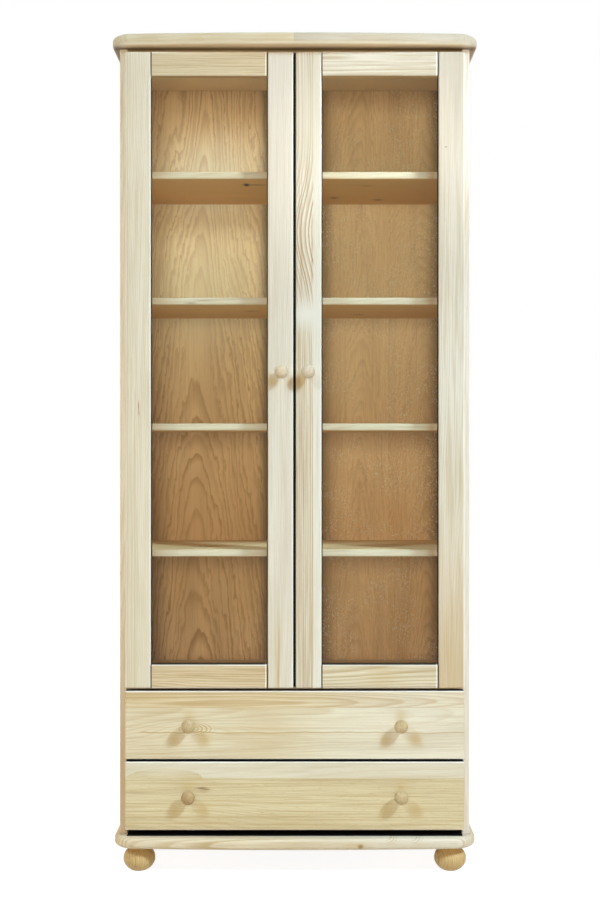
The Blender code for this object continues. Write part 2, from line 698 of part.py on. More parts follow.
def hinge_arm_mesh():
    """The knuckle, the cranked arm and its mounting plate, round the pin's middle."""
    half = ARM_THICKNESS / 2
    near = ARM_OFFSET - ARM_THICKNESS
    outline = [(0, -half), (ARM_OFFSET, -half), (ARM_OFFSET, ARM_LENGTH), (near, ARM_LENGTH),
               (near, half), (0, half)]
    arm = bmesh.new()
    arm.from_mesh(extruded_mesh("arm_outline", outline, ARM_WIDTH))
    knuckle = bmesh.new()
    add_rod(knuckle, (0, 0, -KNUCKLE_LENGTH / 2), (0, 0, KNUCKLE_LENGTH / 2), KNUCKLE_RADIUS, TENON_SIDES)
    bore = bmesh.new()
    add_rod(bore, (0, 0, -KNUCKLE_LENGTH), (0, 0, KNUCKLE_LENGTH), KNUCKLE_BORE_RADIUS, ROD_SIDES)
    wall = pin_x - side_inner + SEAT_GAP
    plate = bmesh.new()
    add_box(plate, (wall, PLATE_CENTRE - PLATE_LENGTH / 2, -PLATE_SPAN / 2),
            (wall + PLATE_THICKNESS, PLATE_CENTRE + PLATE_LENGTH / 2, PLATE_SPAN / 2))
    saddle = bmesh.new()
    add_box(saddle, (wall + SADDLE_BITE, PLATE_CENTRE - SADDLE_LENGTH / 2, -SADDLE_WIDTH / 2),
            (near + SADDLE_BITE, PLATE_CENTRE + SADDLE_LENGTH / 2 - SADDLE_BITE, SADDLE_WIDTH / 2))
    steps = [(knuckle, "UNION"), (bore, "DIFFERENCE"), (saddle, "UNION"), (plate, "UNION")]
    return combined_mesh("hinge_arm", arm, steps)


def combined_mesh(name, shape, steps):
    """Apply a list of Boolean steps to a shape, and keep only the mesh that comes out."""
    master = bpy.data.objects.new(name, mesh_of(name, shape))
    TOOLS.objects.link(master)
    tools = []
    for number, (step_shape, operation) in enumerate(steps):
        tool = tool_object(f"{name}_{number}", step_shape)
        combine(master, tool, operation)
        tools.append(tool)
    mesh = evaluated_mesh(master)
    for used in tools + [master]:
        bpy.data.objects.remove(used, do_unlink=True)
    mesh.shade_smooth()
    mesh.set_sharp_from_angle(angle=math.radians(40))
    return mesh


def build_hinges(side, sign, axis, cup_mesh, arm_mesh):
    """Three hinges: the cups turn with the door, and the arms stay on the side panel."""
    turn = math.pi if sign > 0 else 0
    for number, z in enumerate(hinge_heights, start=1):
        location = (sign * pin_x, pin_y, z)
        cup = place(f"hinge_{side}_{number}_cup", cup_mesh.copy(), location, STEEL, axis)
        cup.rotation_euler = (0, turn, 0)
        arm = place(f"hinge_{side}_{number}_arm", arm_mesh.copy(), location, STEEL)
        arm.rotation_euler = (0, turn, 0)


def build_door(side, sign, cup_mesh, arm_mesh):
    """A glazed door on its hinges, with its knob."""
    axis = joint_axis(f"door_{side}_axis", (sign * pin_x, pin_y, door_bottom))
    build_door_frame(side, sign, axis)
    build_glazing(side, sign, axis)
    knob(f"door_{side}_knob", sign * (meeting_edge + DOOR_KNOB_INSET), knob_height, axis)
    build_hinges(side, sign, axis, cup_mesh, arm_mesh)


def build_drawer(name, bottom):
    """A drawer: a front with housed sides, a back, a grooved-in bottom and two knobs."""
    axis = joint_axis(f"drawer_{name}_axis", (0, front_back, bottom))
    box_bottom = bottom + DRAWER_FOOT_MARGIN
    box_top = bottom + DRAWER_FRONT_HEIGHT - DRAWER_HEAD_MARGIN
    box_outer = side_inner - DRAWER_SIDE_GAP
    box_inner = box_outer - DRAWER_SIDE_THICKNESS
    box_rear = back_face - DRAWER_BACK_CLEARANCE
    side_start = front_back - DRAWER_HOUSING_DEPTH + SEAT_GAP
    panel_bottom = box_bottom + DRAWER_BOTTOM_RISE
    panel_top = panel_bottom + DRAWER_BOTTOM_THICKNESS
    runner_middle = (box_bottom + box_top) / 2

    front = board(f"drawer_{name}_front", (-front_edge, front_face, bottom),
                  (front_edge, front_back, bottom + DRAWER_FRONT_HEIGHT), PALE_PINE, axis,
                  radius=FRONT_EDGE_RADIUS)
    groove = bmesh.new()
    add_box(groove, (-box_outer, front_back - DRAWER_BOTTOM_BITE, panel_bottom - SEAT_GAP),
            (box_outer, front_back + OVERRUN, panel_top + SEAT_GAP))
    combine(front, tool_object(f"drawer_{name}_front_groove", groove, axis), "DIFFERENCE")
    cuts = bmesh.new()
    for sign in SIDES.values():
        add_box(cuts, *ordered_box(
            (sign * (box_inner - SEAT_GAP), front_back - DRAWER_HOUSING_DEPTH, box_bottom - SEAT_GAP),
            (sign * (box_outer + SEAT_GAP), front_back + OVERRUN, box_top + SEAT_GAP)))
        knob_x = sign * (front_edge - DRAWER_KNOB_INSET)
        knob_z = bottom + DRAWER_FRONT_HEIGHT / 2
        add_knob_bore(cuts, knob_x, knob_z)
    combine(front, tool_object(f"drawer_{name}_front_housings", cuts, axis), "DIFFERENCE")

    for side, sign in SIDES.items():
        wall = board(f"drawer_{name}_side_{side}", (sign * box_outer, side_start, box_bottom),
                     (sign * box_inner, box_rear, box_top), PINE, axis)
        grooves = bmesh.new()
        add_box(grooves, *ordered_box(
            (sign * (box_inner - OVERRUN), side_start - OVERRUN, panel_bottom - SEAT_GAP),
            (sign * (box_inner + DRAWER_BOTTOM_BITE), box_rear + OVERRUN, panel_top + SEAT_GAP)))
        add_box(grooves, *ordered_box(
            (sign * (box_outer + OVERRUN), side_start - OVERRUN,
             runner_middle - RUNNER_HEIGHT / 2 - RUNNER_UNDER_PLAY),
            (sign * (box_outer - RUNNER_GROOVE_DEPTH), box_rear + OVERRUN,
             runner_middle + RUNNER_HEIGHT / 2 + SEAT_GAP)))
        combine(wall, tool_object(f"drawer_{name}_{side}_grooves", grooves, axis), "DIFFERENCE")

        runner_start = carcass_front + RUNNER_SETBACK
        board(f"runner_{name}_{side}",
              (sign * (side_inner - SEAT_GAP), runner_start, runner_middle - RUNNER_HEIGHT / 2),
              (sign * (box_outer - RUNNER_GROOVE_DEPTH + RUNNER_SIDE_PLAY), runner_start + RUNNER_LENGTH,
               runner_middle + RUNNER_HEIGHT / 2), PINE)
        knob(f"drawer_{name}_knob_{side}", sign * (front_edge - DRAWER_KNOB_INSET),
             bottom + DRAWER_FRONT_HEIGHT / 2, axis)

    board(f"drawer_{name}_back",
          (SEAT_GAP - box_inner, box_rear - DRAWER_SIDE_THICKNESS, panel_top + SEAT_GAP),
          (box_inner - SEAT_GAP, box_rear, box_top), PINE, axis)
    reach = box_inner + DRAWER_BOTTOM_BITE - SEAT_GAP
    board(f"drawer_{name}_bottom", (-reach, front_back - DRAWER_BOTTOM_BITE + SEAT_GAP, panel_bottom),
          (reach, box_rear, panel_top), PLYWOOD, axis)


def build_cabinet():
    """Every piece of the cabinet."""
    build_boards()
    build_back()
    build_deck()
    build_shelves()
    cup_mesh = hinge_cup_mesh()
    arm_mesh = hinge_arm_mesh()
    for side, sign in SIDES.items():
        build_side(side, sign)
        build_door(side, sign, cup_mesh, arm_mesh)
    for name, bottom in zip(("lower", "upper"), drawer_bottoms):
        build_drawer(name, bottom)


build_cabinet()
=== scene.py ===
"""Looks of the glazed pine display cabinet: raw pine, a veneered back, panes and small fittings.

The CAD solids keep their shapes and places. Each wooden one gets a material of its own, whose
grain runs along the board, and several carry painted light and painted shade. Small fittings that
the solids leave out ride on the same bodies, and so do dark strips of felt and sealant that
stand in for the shade in gaps and along edges.
Metres, +Z up, and the front faces -Y.
"""

import math

import bmesh
import bpy
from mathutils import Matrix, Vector


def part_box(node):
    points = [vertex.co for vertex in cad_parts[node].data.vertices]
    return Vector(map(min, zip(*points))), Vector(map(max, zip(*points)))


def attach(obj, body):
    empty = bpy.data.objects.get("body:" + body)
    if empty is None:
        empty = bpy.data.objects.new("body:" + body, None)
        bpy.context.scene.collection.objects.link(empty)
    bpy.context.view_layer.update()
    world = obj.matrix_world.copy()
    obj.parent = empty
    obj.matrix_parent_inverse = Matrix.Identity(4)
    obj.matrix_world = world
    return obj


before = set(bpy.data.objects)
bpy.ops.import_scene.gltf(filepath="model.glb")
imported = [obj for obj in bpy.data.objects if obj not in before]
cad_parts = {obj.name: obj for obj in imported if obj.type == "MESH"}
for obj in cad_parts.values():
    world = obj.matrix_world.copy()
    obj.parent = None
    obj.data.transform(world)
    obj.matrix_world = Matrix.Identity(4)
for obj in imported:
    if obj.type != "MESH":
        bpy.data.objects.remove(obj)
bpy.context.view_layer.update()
SCENE = bpy.context.scene
SIDES = ("left", "right")
LEVELS = ("upper", "lower")

# Camera, level and in front of the cabinet
CAMERA_PLACE = (0.0124, -3.0955, 0.984)
CAMERA_LENS = 50.3
CAMERA_SENSOR = 36

# Spots that the lamps are aimed at
FRONT_MIDDLE = (0, -0.17, 1.0)
FRONT_LOW_LEFT = (-0.5, -0.17, 0.0)
FRONT_LOW_RIGHT = (0.1, -0.17, 0.0)
LEFT_BAYS = (-0.24, 0.19, 1.66)
BACK_MIDDLE = (0, 0.2, 1.0)
RIGHT_SIDE = (0.41, 0, 1.0)
LEFT_SIDE = (-0.41, 0, 1.0)
TOP_MIDDLE = (0, 0, 1.95)

# Light and surroundings
WARM = (1.0, 0.84, 0.66)
COOL = (0.69, 0.92, 1.12)
WHITE = (1, 1, 1)
ROOM_COLOUR = (1.0, 0.86, 0.66)
ROOM_STRENGTH = 0.08
FLOOR_REACH = 30.0
FLOOR_COLOUR = (0.78, 0.73, 0.64)
FLOOR_SHADOW_COLOUR = (0.3, 0.3, 0.3)
FLOOR_GLOW = (0.5, 2.5, 0.9, 1.0)


def srgb(red, green, blue):
    """A display colour of 0 to 255 as linear light."""
    shares = [value / 255 for value in (red, green, blue)]
    return tuple(s / 12.92 if s <= 0.04045 else ((s + 0.055) / 1.055) ** 2.4 for s in shares)


# Camera and lamps

def add_camera():
    """The camera at the photograph's viewing angle."""
    camera = bpy.data.objects.new("camera", bpy.data.cameras.new("camera"))
    SCENE.collection.objects.link(camera)
    SCENE.camera = camera
    camera.location = CAMERA_PLACE
    camera.rotation_euler = (math.radians(90), 0, 0)
    camera.data.lens = CAMERA_LENS
    camera.data.sensor_width = CAMERA_SENSOR


def softbox(name, place, size, level, colour, target=FRONT_MIDDLE, spread=180, gloss=True):
    """A square lamp that lights the face it is aimed at to this share of white.

    In front of the cabinet that face looks to the front, and elsewhere along the longest part of
    the way to the lamp.
    """
    aim = Vector(target) - Vector(place)
    data = bpy.data.lights.new(name, "AREA")
    data.shape = "SQUARE"
    data.size = size
    facing = aim.y if aim.y > 0 else max(abs(part) for part in aim)
    data.energy = level * math.pi ** 2 * aim.length ** 3 / facing
    if spread < 180:
        half = math.radians(spread) / 2
        data.energy *= 1 - half / math.tan(half)
    data.color = colour
    data.spread = math.radians(spread)
    lamp = bpy.data.objects.new(name, data)
    SCENE.collection.objects.link(lamp)
    lamp.location = place
    lamp.visible_camera = False
    lamp.visible_glossy = gloss
    lamp.rotation_euler = aim.to_track_quat("-Z", "Y").to_euler()


add_camera()
softbox("front", (-0.1, -4.6, 1.35), 1.0, 0.34, WARM, gloss=False)
softbox("key", (4.2, -3.3, 4.9), 0.8, 0.31, COOL, FRONT_LOW_LEFT, 60)
softbox("second", (-4.2, -3.3, 4.9), 0.8, 0.16, COOL, FRONT_LOW_RIGHT, 60)
softbox("glow", (1.3, -1.15, 1.9), 0.25, 0.38, (1.0, 0.98, 0.92), LEFT_BAYS, 24)
softbox("behind", (-1.6, 5.2, 2.6), 1.6, 0.5, (1.0, 0.97, 0.92), BACK_MIDDLE, 60, gloss=False)
softbox("right", (6.0, 1.0, 1.6), 1.0, 0.24, (1.0, 0.76, 0.6), RIGHT_SIDE, 60, gloss=False)
softbox("left", (-6.0, 1.0, 1.6), 1.0, 0.36, (1.0, 0.92, 0.86), LEFT_SIDE, 60, gloss=False)
softbox("above", (0.3, 1.8, 6.5), 1.0, 0.3, (1.0, 0.86, 0.74), TOP_MIDDLE, 50, gloss=False)


# Shader nodes

class Graph:
    """Short calls for making and linking shader nodes."""

    def __init__(self, tree):
        self.tree = tree
        tree.nodes.clear()

    def node(self, kind, values=None, **settings):
        """A node with its settings, and its inputs linked or set by name or number."""
        made = self.tree.nodes.new(kind)
        for key, value in settings.items():
            setattr(made, key, value)
        for key, value in (values or {}).items():
            self.feed(made.inputs[key], value)
        return made

    def feed(self, socket, value):
        """Link a socket, or set it to a number, a vector or a colour."""
        if isinstance(value, bpy.types.NodeSocket):
            self.tree.links.new(value, socket)
        elif socket.type == "RGBA" and len(value) == 3:
            socket.default_value = (*value, 1)
        else:
            socket.default_value = value

    def math(self, operation, first, second=0.0, third=0.0, clamp=False):
        """A number worked out from others."""
        values = {0: first, 1: second, 2: third}
        return self.node("ShaderNodeMath", values, operation=operation, use_clamp=clamp).outputs[0]

    def vector(self, operation, first, second):
        """A vector worked out from two others."""
        values = {0: first, 1: second}
        return self.node("ShaderNodeVectorMath", values, operation=operation).outputs[0]

    def split(self, vector):
        """The three numbers of a vector."""
        return self.node("ShaderNodeSeparateXYZ", {0: vector}).outputs[:3]

    def join(self, x, y, z):
        """A vector of three numbers."""
        return self.node("ShaderNodeCombineXYZ", {0: x, 1: y, 2: z}).outputs[0]

    def place(self):
        """The point in the object's own metres."""
        return self.node("ShaderNodeTexCoord").outputs["Object"]

    def ramp(self, value, low, high, start=0.0, end=1.0):
        """A number eased from start to end while the value goes from low to high."""
        values = {"Value": value, "From Min": low, "From Max": high, "To Min": start, "To Max": end}
        made = self.node("ShaderNodeMapRange", values, interpolation_type="SMOOTHSTEP")
        return made.outputs[0]

    def noise(self, vector, scale=1.0, detail=2.0, roughness=0.5, colour=False):
        """Noise from 0 to 1, or three of it as a colour."""
        values = {"Vector": vector, "Scale": scale, "Detail": detail, "Roughness": roughness}
        made = self.node("ShaderNodeTexNoise", values)
        return made.outputs["Color" if colour else "Fac"]

    def mix(self, share, first, second):
        """Two colours mixed."""
        values = {"Factor": share, 6: first, 7: second}
        return self.node("ShaderNodeMix", values, data_type="RGBA").outputs[2]

    def either(self, share, first, second):
        """Two shaders mixed."""
        values = {0: share, 1: first.outputs[0], 2: second.outputs[0]}
        return self.node("ShaderNodeMixShader", values)

    def seen(self):
        """One where the eye looks straight, off metal or through glass, and nothing elsewhere."""
        rays = self.node("ShaderNodeLightPath").outputs
        direct = self.math("MAXIMUM", rays["Is Camera Ray"], rays["Is Glossy Ray"])
        return self.math("MAXIMUM", direct, rays["Is Transmission Ray"])

    def surface(self, shader):
        """End a material with its shader."""
        self.node("ShaderNodeOutputMaterial", {"Surface": shader.outputs[0]})

    def principled(self, colour, rough, height, relief, name, value):
        """End a material of this colour, roughness and unevenness, with one constant value."""
        bump = self.node("ShaderNodeBump", {"Height": height, "Distance": relief, "Strength": 1.0})
        shader = self.node("ShaderNodeBsdfPrincipled", {"Base Color": colour, "Roughness": rough,
                                                        "Normal": bump.outputs[0]})
        shader.inputs[name].default_value = value
        self.surface(shader)


def new_material(name):
    """An empty node material, as (material, graph)."""
    material = bpy.data.materials.new(name)
    material.use_nodes = True
    return material, Graph(material.node_tree)


def new_group(name, inputs, outputs):
    """An empty node group with these sockets, as (group, graph, its inputs by name, finisher)."""
    tree_kind = "GeometryNodeTree" if "G" in inputs.values() else "ShaderNodeTree"
    tree = bpy.data.node_groups.new(name, tree_kind)
    kinds = {"F": "NodeSocketFloat", "V": "NodeSocketVector", "G": "NodeSocketGeometry"}
    for side, sockets in (("INPUT", inputs), ("OUTPUT", outputs)):
        for socket, kind in sockets.items():
            tree.interface.new_socket(socket, in_out=side, socket_type=kinds[kind])
    graph = Graph(tree)
    given = graph.node("NodeGroupInput").outputs

    def finish(**results):
        graph.node("NodeGroupOutput", results)

    return tree, graph, given, finish


# Floor and world

def stage_material():
    """A white floor whose light shadow still shows."""
    material, g = new_material("white_floor")
    reach = g.node("ShaderNodeVectorMath", {0: g.place()}, operation="LENGTH").outputs["Value"]
    plain = g.node("ShaderNodeBsdfDiffuse", {"Color": FLOOR_COLOUR})
    dim = g.node("ShaderNodeBsdfDiffuse", {"Color": FLOOR_SHADOW_COLOUR})
    strength = g.ramp(reach, *FLOOR_GLOW)
    glow = g.node("ShaderNodeEmission", {"Color": WHITE, "Strength": strength})
    shown = g.node("ShaderNodeAddShader", {0: dim.outputs[0], 1: glow.outputs[0]})
    g.surface(g.either(g.seen(), plain, shown))
    return material


def build_floor():
    """The floor, far wider than the view."""
    mesh = bpy.data.meshes.new("floor")
    corners = [(x * FLOOR_REACH, y * FLOOR_REACH, 0) for x, y in ((-1, -1), (1, -1), (1, 1), (-1, 1))]
    mesh.from_pydata(corners, [], [(0, 1, 2, 3)])
    mesh.materials.append(stage_material())
    floor = bpy.data.objects.new("floor", mesh)
    SCENE.collection.objects.link(floor)


def build_world():
    """White to the eye, and a soft warm light to the cabinet."""
    world = bpy.data.worlds.new("studio")
    SCENE.world = world
    world.use_nodes = True
    g = Graph(world.node_tree)
    soft = g.node("ShaderNodeBackground", {"Color": ROOM_COLOUR, "Strength": ROOM_STRENGTH})
    white = g.node("ShaderNodeBackground", {"Color": WHITE, "Strength": 1.0})
    both = g.either(g.seen(), soft, white)
    g.node("ShaderNodeOutputWorld", {"Surface": both.outputs[0]})


build_floor()
build_world()
SCENE.view_settings.view_transform = "Standard"


# Wood noise, as waves to the metre along, across and through a board
DRIFT_WAVES = (1.6, 7.0, 7.0)
RIPPLE_WAVES = (13.0, 60.0, 60.0)
FIBRE_WAVES = (22, 700, 700)
BROAD_WAVES = (2.6, 16, 16)
STREAK_WAVES = (4.5, 210, 210)
PORE_WAVES = (55, 1100, 1100)
SPECK_WAVES = (380, 480, 480)
PATCH_WAVES = (9, 9, 9)
YEAR_WAVES = 45.0
LINE_WAVES = 11.0
WHORL_WAVES = 90.0
SEED_SHIFT = 3.17

# Wood sizes
SEAM_BLUR = 0.0012
FACE_EDGES = (0.0005, 0.0015)
WEAR_AND_HIGHLIGHT_EDGES = (0.001, 0.0034)
JOINT_AND_SHADE_EDGES = (0.0016, 0.0032)
SHINE_EDGES = (0.0005, 0.0016)
SHINE_OFFSET = 0.0048
LINE_FADE = 0.01
RELIEF = 0.00012

# Wood finish and tones
ROUGHNESS = 0.58
SPECULAR = 0.35
# Tone of painted shade on arrises and in joints
SHADE = (66, 52, 32)
# Pale tone of edge wear and of painted highlights
WEAR_AND_HIGHLIGHT = (255, 253, 246)
SPECK = (255, 252, 232)
TAN = (196, 160, 100)
BROWN = (150, 110, 58)
GREY = (150, 140, 120)
END_SHADE_TONE = (206, 170, 112)
SPOT = (52, 36, 18)
DARK_KNOT = (90, 62, 30)
LIGHT_KNOT = (110, 80, 44)
# Tone of the painted shadows beside the knobs
KNOB_SHADOW_TONE = (214, 188, 134)


def grain_group():
    """Growth rings of a trunk cut by the board. Vector is (along, across, through) in metres."""
    inputs = {"Vector": "V", "Seed": "F", "Pith": "V", "Pitch": "F", "Taper": "F", "Wander": "F",
              "Lift": "F", "Ripple": "F"}
    tree, g, given, finish = new_group("growth_rings", inputs, {"Late": "F"})
    along, across, through = g.split(given["Vector"])
    shift = g.math("MULTIPLY", given["Seed"], SEED_SHIFT)

    def waves(rates):
        return g.join(g.math("MULTIPLY_ADD", along, rates[0], shift),
                      g.math("MULTIPLY", across, rates[1]), g.math("MULTIPLY", through, rates[2]))

    drift = g.noise(waves(DRIFT_WAVES), 1.0, 1.5, 0.5, colour=True)
    drift = g.split(g.vector("SUBTRACT", drift, (0.5, 0.5, 0.5)))
    ripple = g.math("SUBTRACT", g.noise(waves(RIPPLE_WAVES), 1.0, 5.0, 0.62), 0.5)
    sway = g.math("ADD", drift[0], g.math("MULTIPLY", ripple, given["Ripple"]))
    pith = g.split(given["Pith"])
    across = g.math("SUBTRACT", g.math("MULTIPLY_ADD", sway, given["Wander"], across), pith[1])
    through = g.math("SUBTRACT", g.math("MULTIPLY_ADD", drift[1], given["Wander"], through), pith[2])
    squares = g.math("ADD", g.math("MULTIPLY", across, across),
                     g.math("MULTIPLY", through, through))
    radius = g.math("MULTIPLY_ADD", given["Taper"], along, g.math("SQRT", squares))
    radius = g.math("ADD", radius, given["Lift"])
    years = g.join(g.math("MULTIPLY_ADD", radius, YEAR_WAVES, shift), 0, 0)
    spread = g.math("MULTIPLY", g.noise(years), 2.4)
    phase = g.math("ADD", g.math("DIVIDE", radius, given["Pitch"]), spread)
    year = g.math("ADD", g.math("FLOOR", phase), shift)
    weight = g.node("ShaderNodeTexWhiteNoise", {"W": year}, noise_dimensions="1D").outputs["Value"]
    part = g.math("FRACT", phase)
    late = g.math("MULTIPLY", g.ramp(part, 0.3, 0.86), g.ramp(part, 0.88, 1.0, 1.0, 0.0))
    finish(Late=g.math("MULTIPLY", late, g.math("MULTIPLY_ADD", weight, 0.62, 0.38)))
    return tree


GRAIN = grain_group()
AXES = {"X": 0, "Y": 1, "Z": 2}


def board_axes(node, along=None, across=None):
    """The axes along, across and through a board, by its three sizes unless they are named."""
    low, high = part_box(node)
    order = sorted(AXES.values(), key=lambda axis: low[axis] - high[axis])
    if along:
        order = [AXES[along], AXES[across]]
        order.append(3 - sum(order))
    return order, low, high


def stepped(g, masks, values):
    """A value that takes its next entry at each mask, or the value itself if all are alike."""
    result = values[0]
    for mask, value in zip(masks, values[1:]):
        if value == result:
            continue
        if isinstance(value, tuple):
            result = g.mix(mask, result, value)
        else:
            result = g.math("MULTIPLY_ADD", mask, g.math("SUBTRACT", value, result), result)
    return result


def strip_masks(g, place, edges):
    """Where each next strip of a glued board has taken over from the one before."""
    masks = []
    for axis, edge, *bulge in edges:
        if not bulge:
            masks.append(g.math("GREATER_THAN", place[axis], edge))
            continue
        middle, width, height = bulge
        step = g.math("DIVIDE", g.math("SUBTRACT", place[0], middle), width)
        arch = g.math("MULTIPLY_ADD", g.math("MULTIPLY", step, step), -1.0, 1.0)
        arch = g.math("MULTIPLY", g.math("SQRT", g.math("MAXIMUM", arch, 0.0)), height)
        rise = g.math("SUBTRACT", place[axis], arch)
        masks.append(g.ramp(rise, edge - SEAM_BLUR, edge + SEAM_BLUR))
    return masks


def oval(g, place, centre, sizes):
    """A number that is one at the centre of a soft oval and dies away outside it."""
    steps = [g.math("DIVIDE", g.math("SUBTRACT", at, mid), size)
             for at, mid, size in zip(place, centre, sizes)]
    squares = 0.0
    for step in steps:
        squares = g.math("MULTIPLY_ADD", step, step, squares)
    return g.math("EXPONENT", g.math("MULTIPLY", squares, -1.0))


def blot(g, place, centre, sizes, share):
    """How much of a mark's tone shows."""
    return g.math("MULTIPLY", oval(g, place, centre, sizes), share, clamp=True)


def drawn_line(g, along, across, at, sway, half, ends, seed):
    """A thin wavering line along the board, between two places on it."""
    path = g.join(g.math("MULTIPLY_ADD", along, LINE_WAVES, seed), 0, 0)
    wave = g.math("SUBTRACT", g.noise(path, 1.0, 3.0), 0.5)
    gap = g.math("SUBTRACT", g.math("MULTIPLY_ADD", wave, -2 * sway, across), at)
    mask = g.ramp(g.math("ABSOLUTE", gap), half * 0.3, half * 1.3, 1.0, 0.0)
    start, end = ends
    fade = g.math("MULTIPLY", g.ramp(along, start - LINE_FADE, start + LINE_FADE),
                  g.ramp(along, end - LINE_FADE, end + LINE_FADE, 1.0, 0.0))
    return g.math("MULTIPLY", mask, fade)


def whorl(g, along, across, centre, inner, outer, stretch, pitch, side):
    """Rings round a branch that lies between two distances, on one side of it."""
    step = g.math("SUBTRACT", along, centre[0])
    rise = g.math("SUBTRACT", across, centre[1])
    short = g.math("DIVIDE", step, stretch)
    squares = g.math("MULTIPLY_ADD", short, short, g.math("MULTIPLY", rise, rise))
    wobble = g.math("MULTIPLY", g.noise(g.join(along, across, 0), WHORL_WAVES), pitch * 0.9)
    radius = g.math("ADD", g.math("SQRT", squares), wobble)
    part = g.math("FRACT", g.math("DIVIDE", radius, pitch))
    ring = g.math("MULTIPLY", g.ramp(part, 0.35, 0.78), g.ramp(part, 0.84, 1.0, 1.0, 0.0))
    zone = g.math("MULTIPLY", g.ramp(radius, inner * 0.8, inner * 1.2),
                  g.ramp(radius, outer * 0.7, outer * 1.1, 1.0, 0.0))
    beyond = g.ramp(g.math("MULTIPLY", step, side), 0.0, inner * stretch)
    return g.math("MULTIPLY", g.math("MULTIPLY", ring, zone), beyond)


def worn_and_highlit_edges(g, colour, width, low, high, streak, rim, lip):
    """A colour made pale along its two long edges, partly by wear and partly as painted highlight,
    with painted shade on the arris at the high side if lip is its width.
    """
    rises = (g.math("SUBTRACT", width, low), g.math("SUBTRACT", high, width))
    # Pale edges, partly wear and partly painted highlight
    for rise, share, start in zip(rises, rim, (0.0, lip)):
        near, far = (start + edge for edge in WEAR_AND_HIGHLIGHT_EDGES)
        worn = g.math("MULTIPLY", g.ramp(rise, near, far, share, 0.0),
                      g.ramp(streak, 0.3, 0.6, 1.0, 0.7))
        colour = g.mix(worn, colour, srgb(*WEAR_AND_HIGHLIGHT))
    # Painted shade on the arris at the high side
    if lip:
        colour = g.mix(g.ramp(rises[1], lip * 0.6, lip * 1.3, 0.9, 0.0), colour, srgb(*SHADE))
    return colour


def speckled(g, colour, board, width, share):
    """A colour with pale specks, in patches on the right half of the board."""
    spots = g.noise(g.vector("MULTIPLY", board, SPECK_WAVES), 1.0, 1.0, 0.4)
    patch = g.noise(g.vector("MULTIPLY", board, PATCH_WAVES), 1.0, 1.0, 0.5)
    shown = g.math("MULTIPLY", g.ramp(spots, 0.61, 0.67, 0.0, share), g.ramp(patch, 0.36, 0.56))
    shown = g.math("MULTIPLY", shown, g.ramp(width, -0.02, 0.05))
    return g.mix(shown, colour, srgb(*SPECK))


def shouldered(g, colour, length, shoulders):
    """A colour with a dark line at both shoulders, partly the joint and partly painted shade in its
    groove, and a painted highlight beside the right one.
    """
    near = [g.math("ABSOLUTE", g.math("SUBTRACT", length, at)) for at in shoulders]
    joint = g.ramp(g.math("MINIMUM", *near), *JOINT_AND_SHADE_EDGES, 1.0, 0.0)
    # Painted highlight beside the right shoulder
    shine = g.math("ABSOLUTE", g.math("SUBTRACT", length, shoulders[1] - SHINE_OFFSET))
    colour = g.mix(g.ramp(shine, *SHINE_EDGES, 0.7, 0.0), colour, srgb(*WEAR_AND_HIGHLIGHT))
    return g.mix(joint, colour, srgb(*SHADE))


SPAN = 9.0
STRIP = {"seed": 0.0, "light": (232, 218, 188), "dark": (196, 164, 110), "pith": (0.0, 0.04),
         "pitch": 0.0032, "taper": 0.02, "wander": 0.02, "ripple": 0.12, "contrast": 0.5,
         "streaks": 0.3}


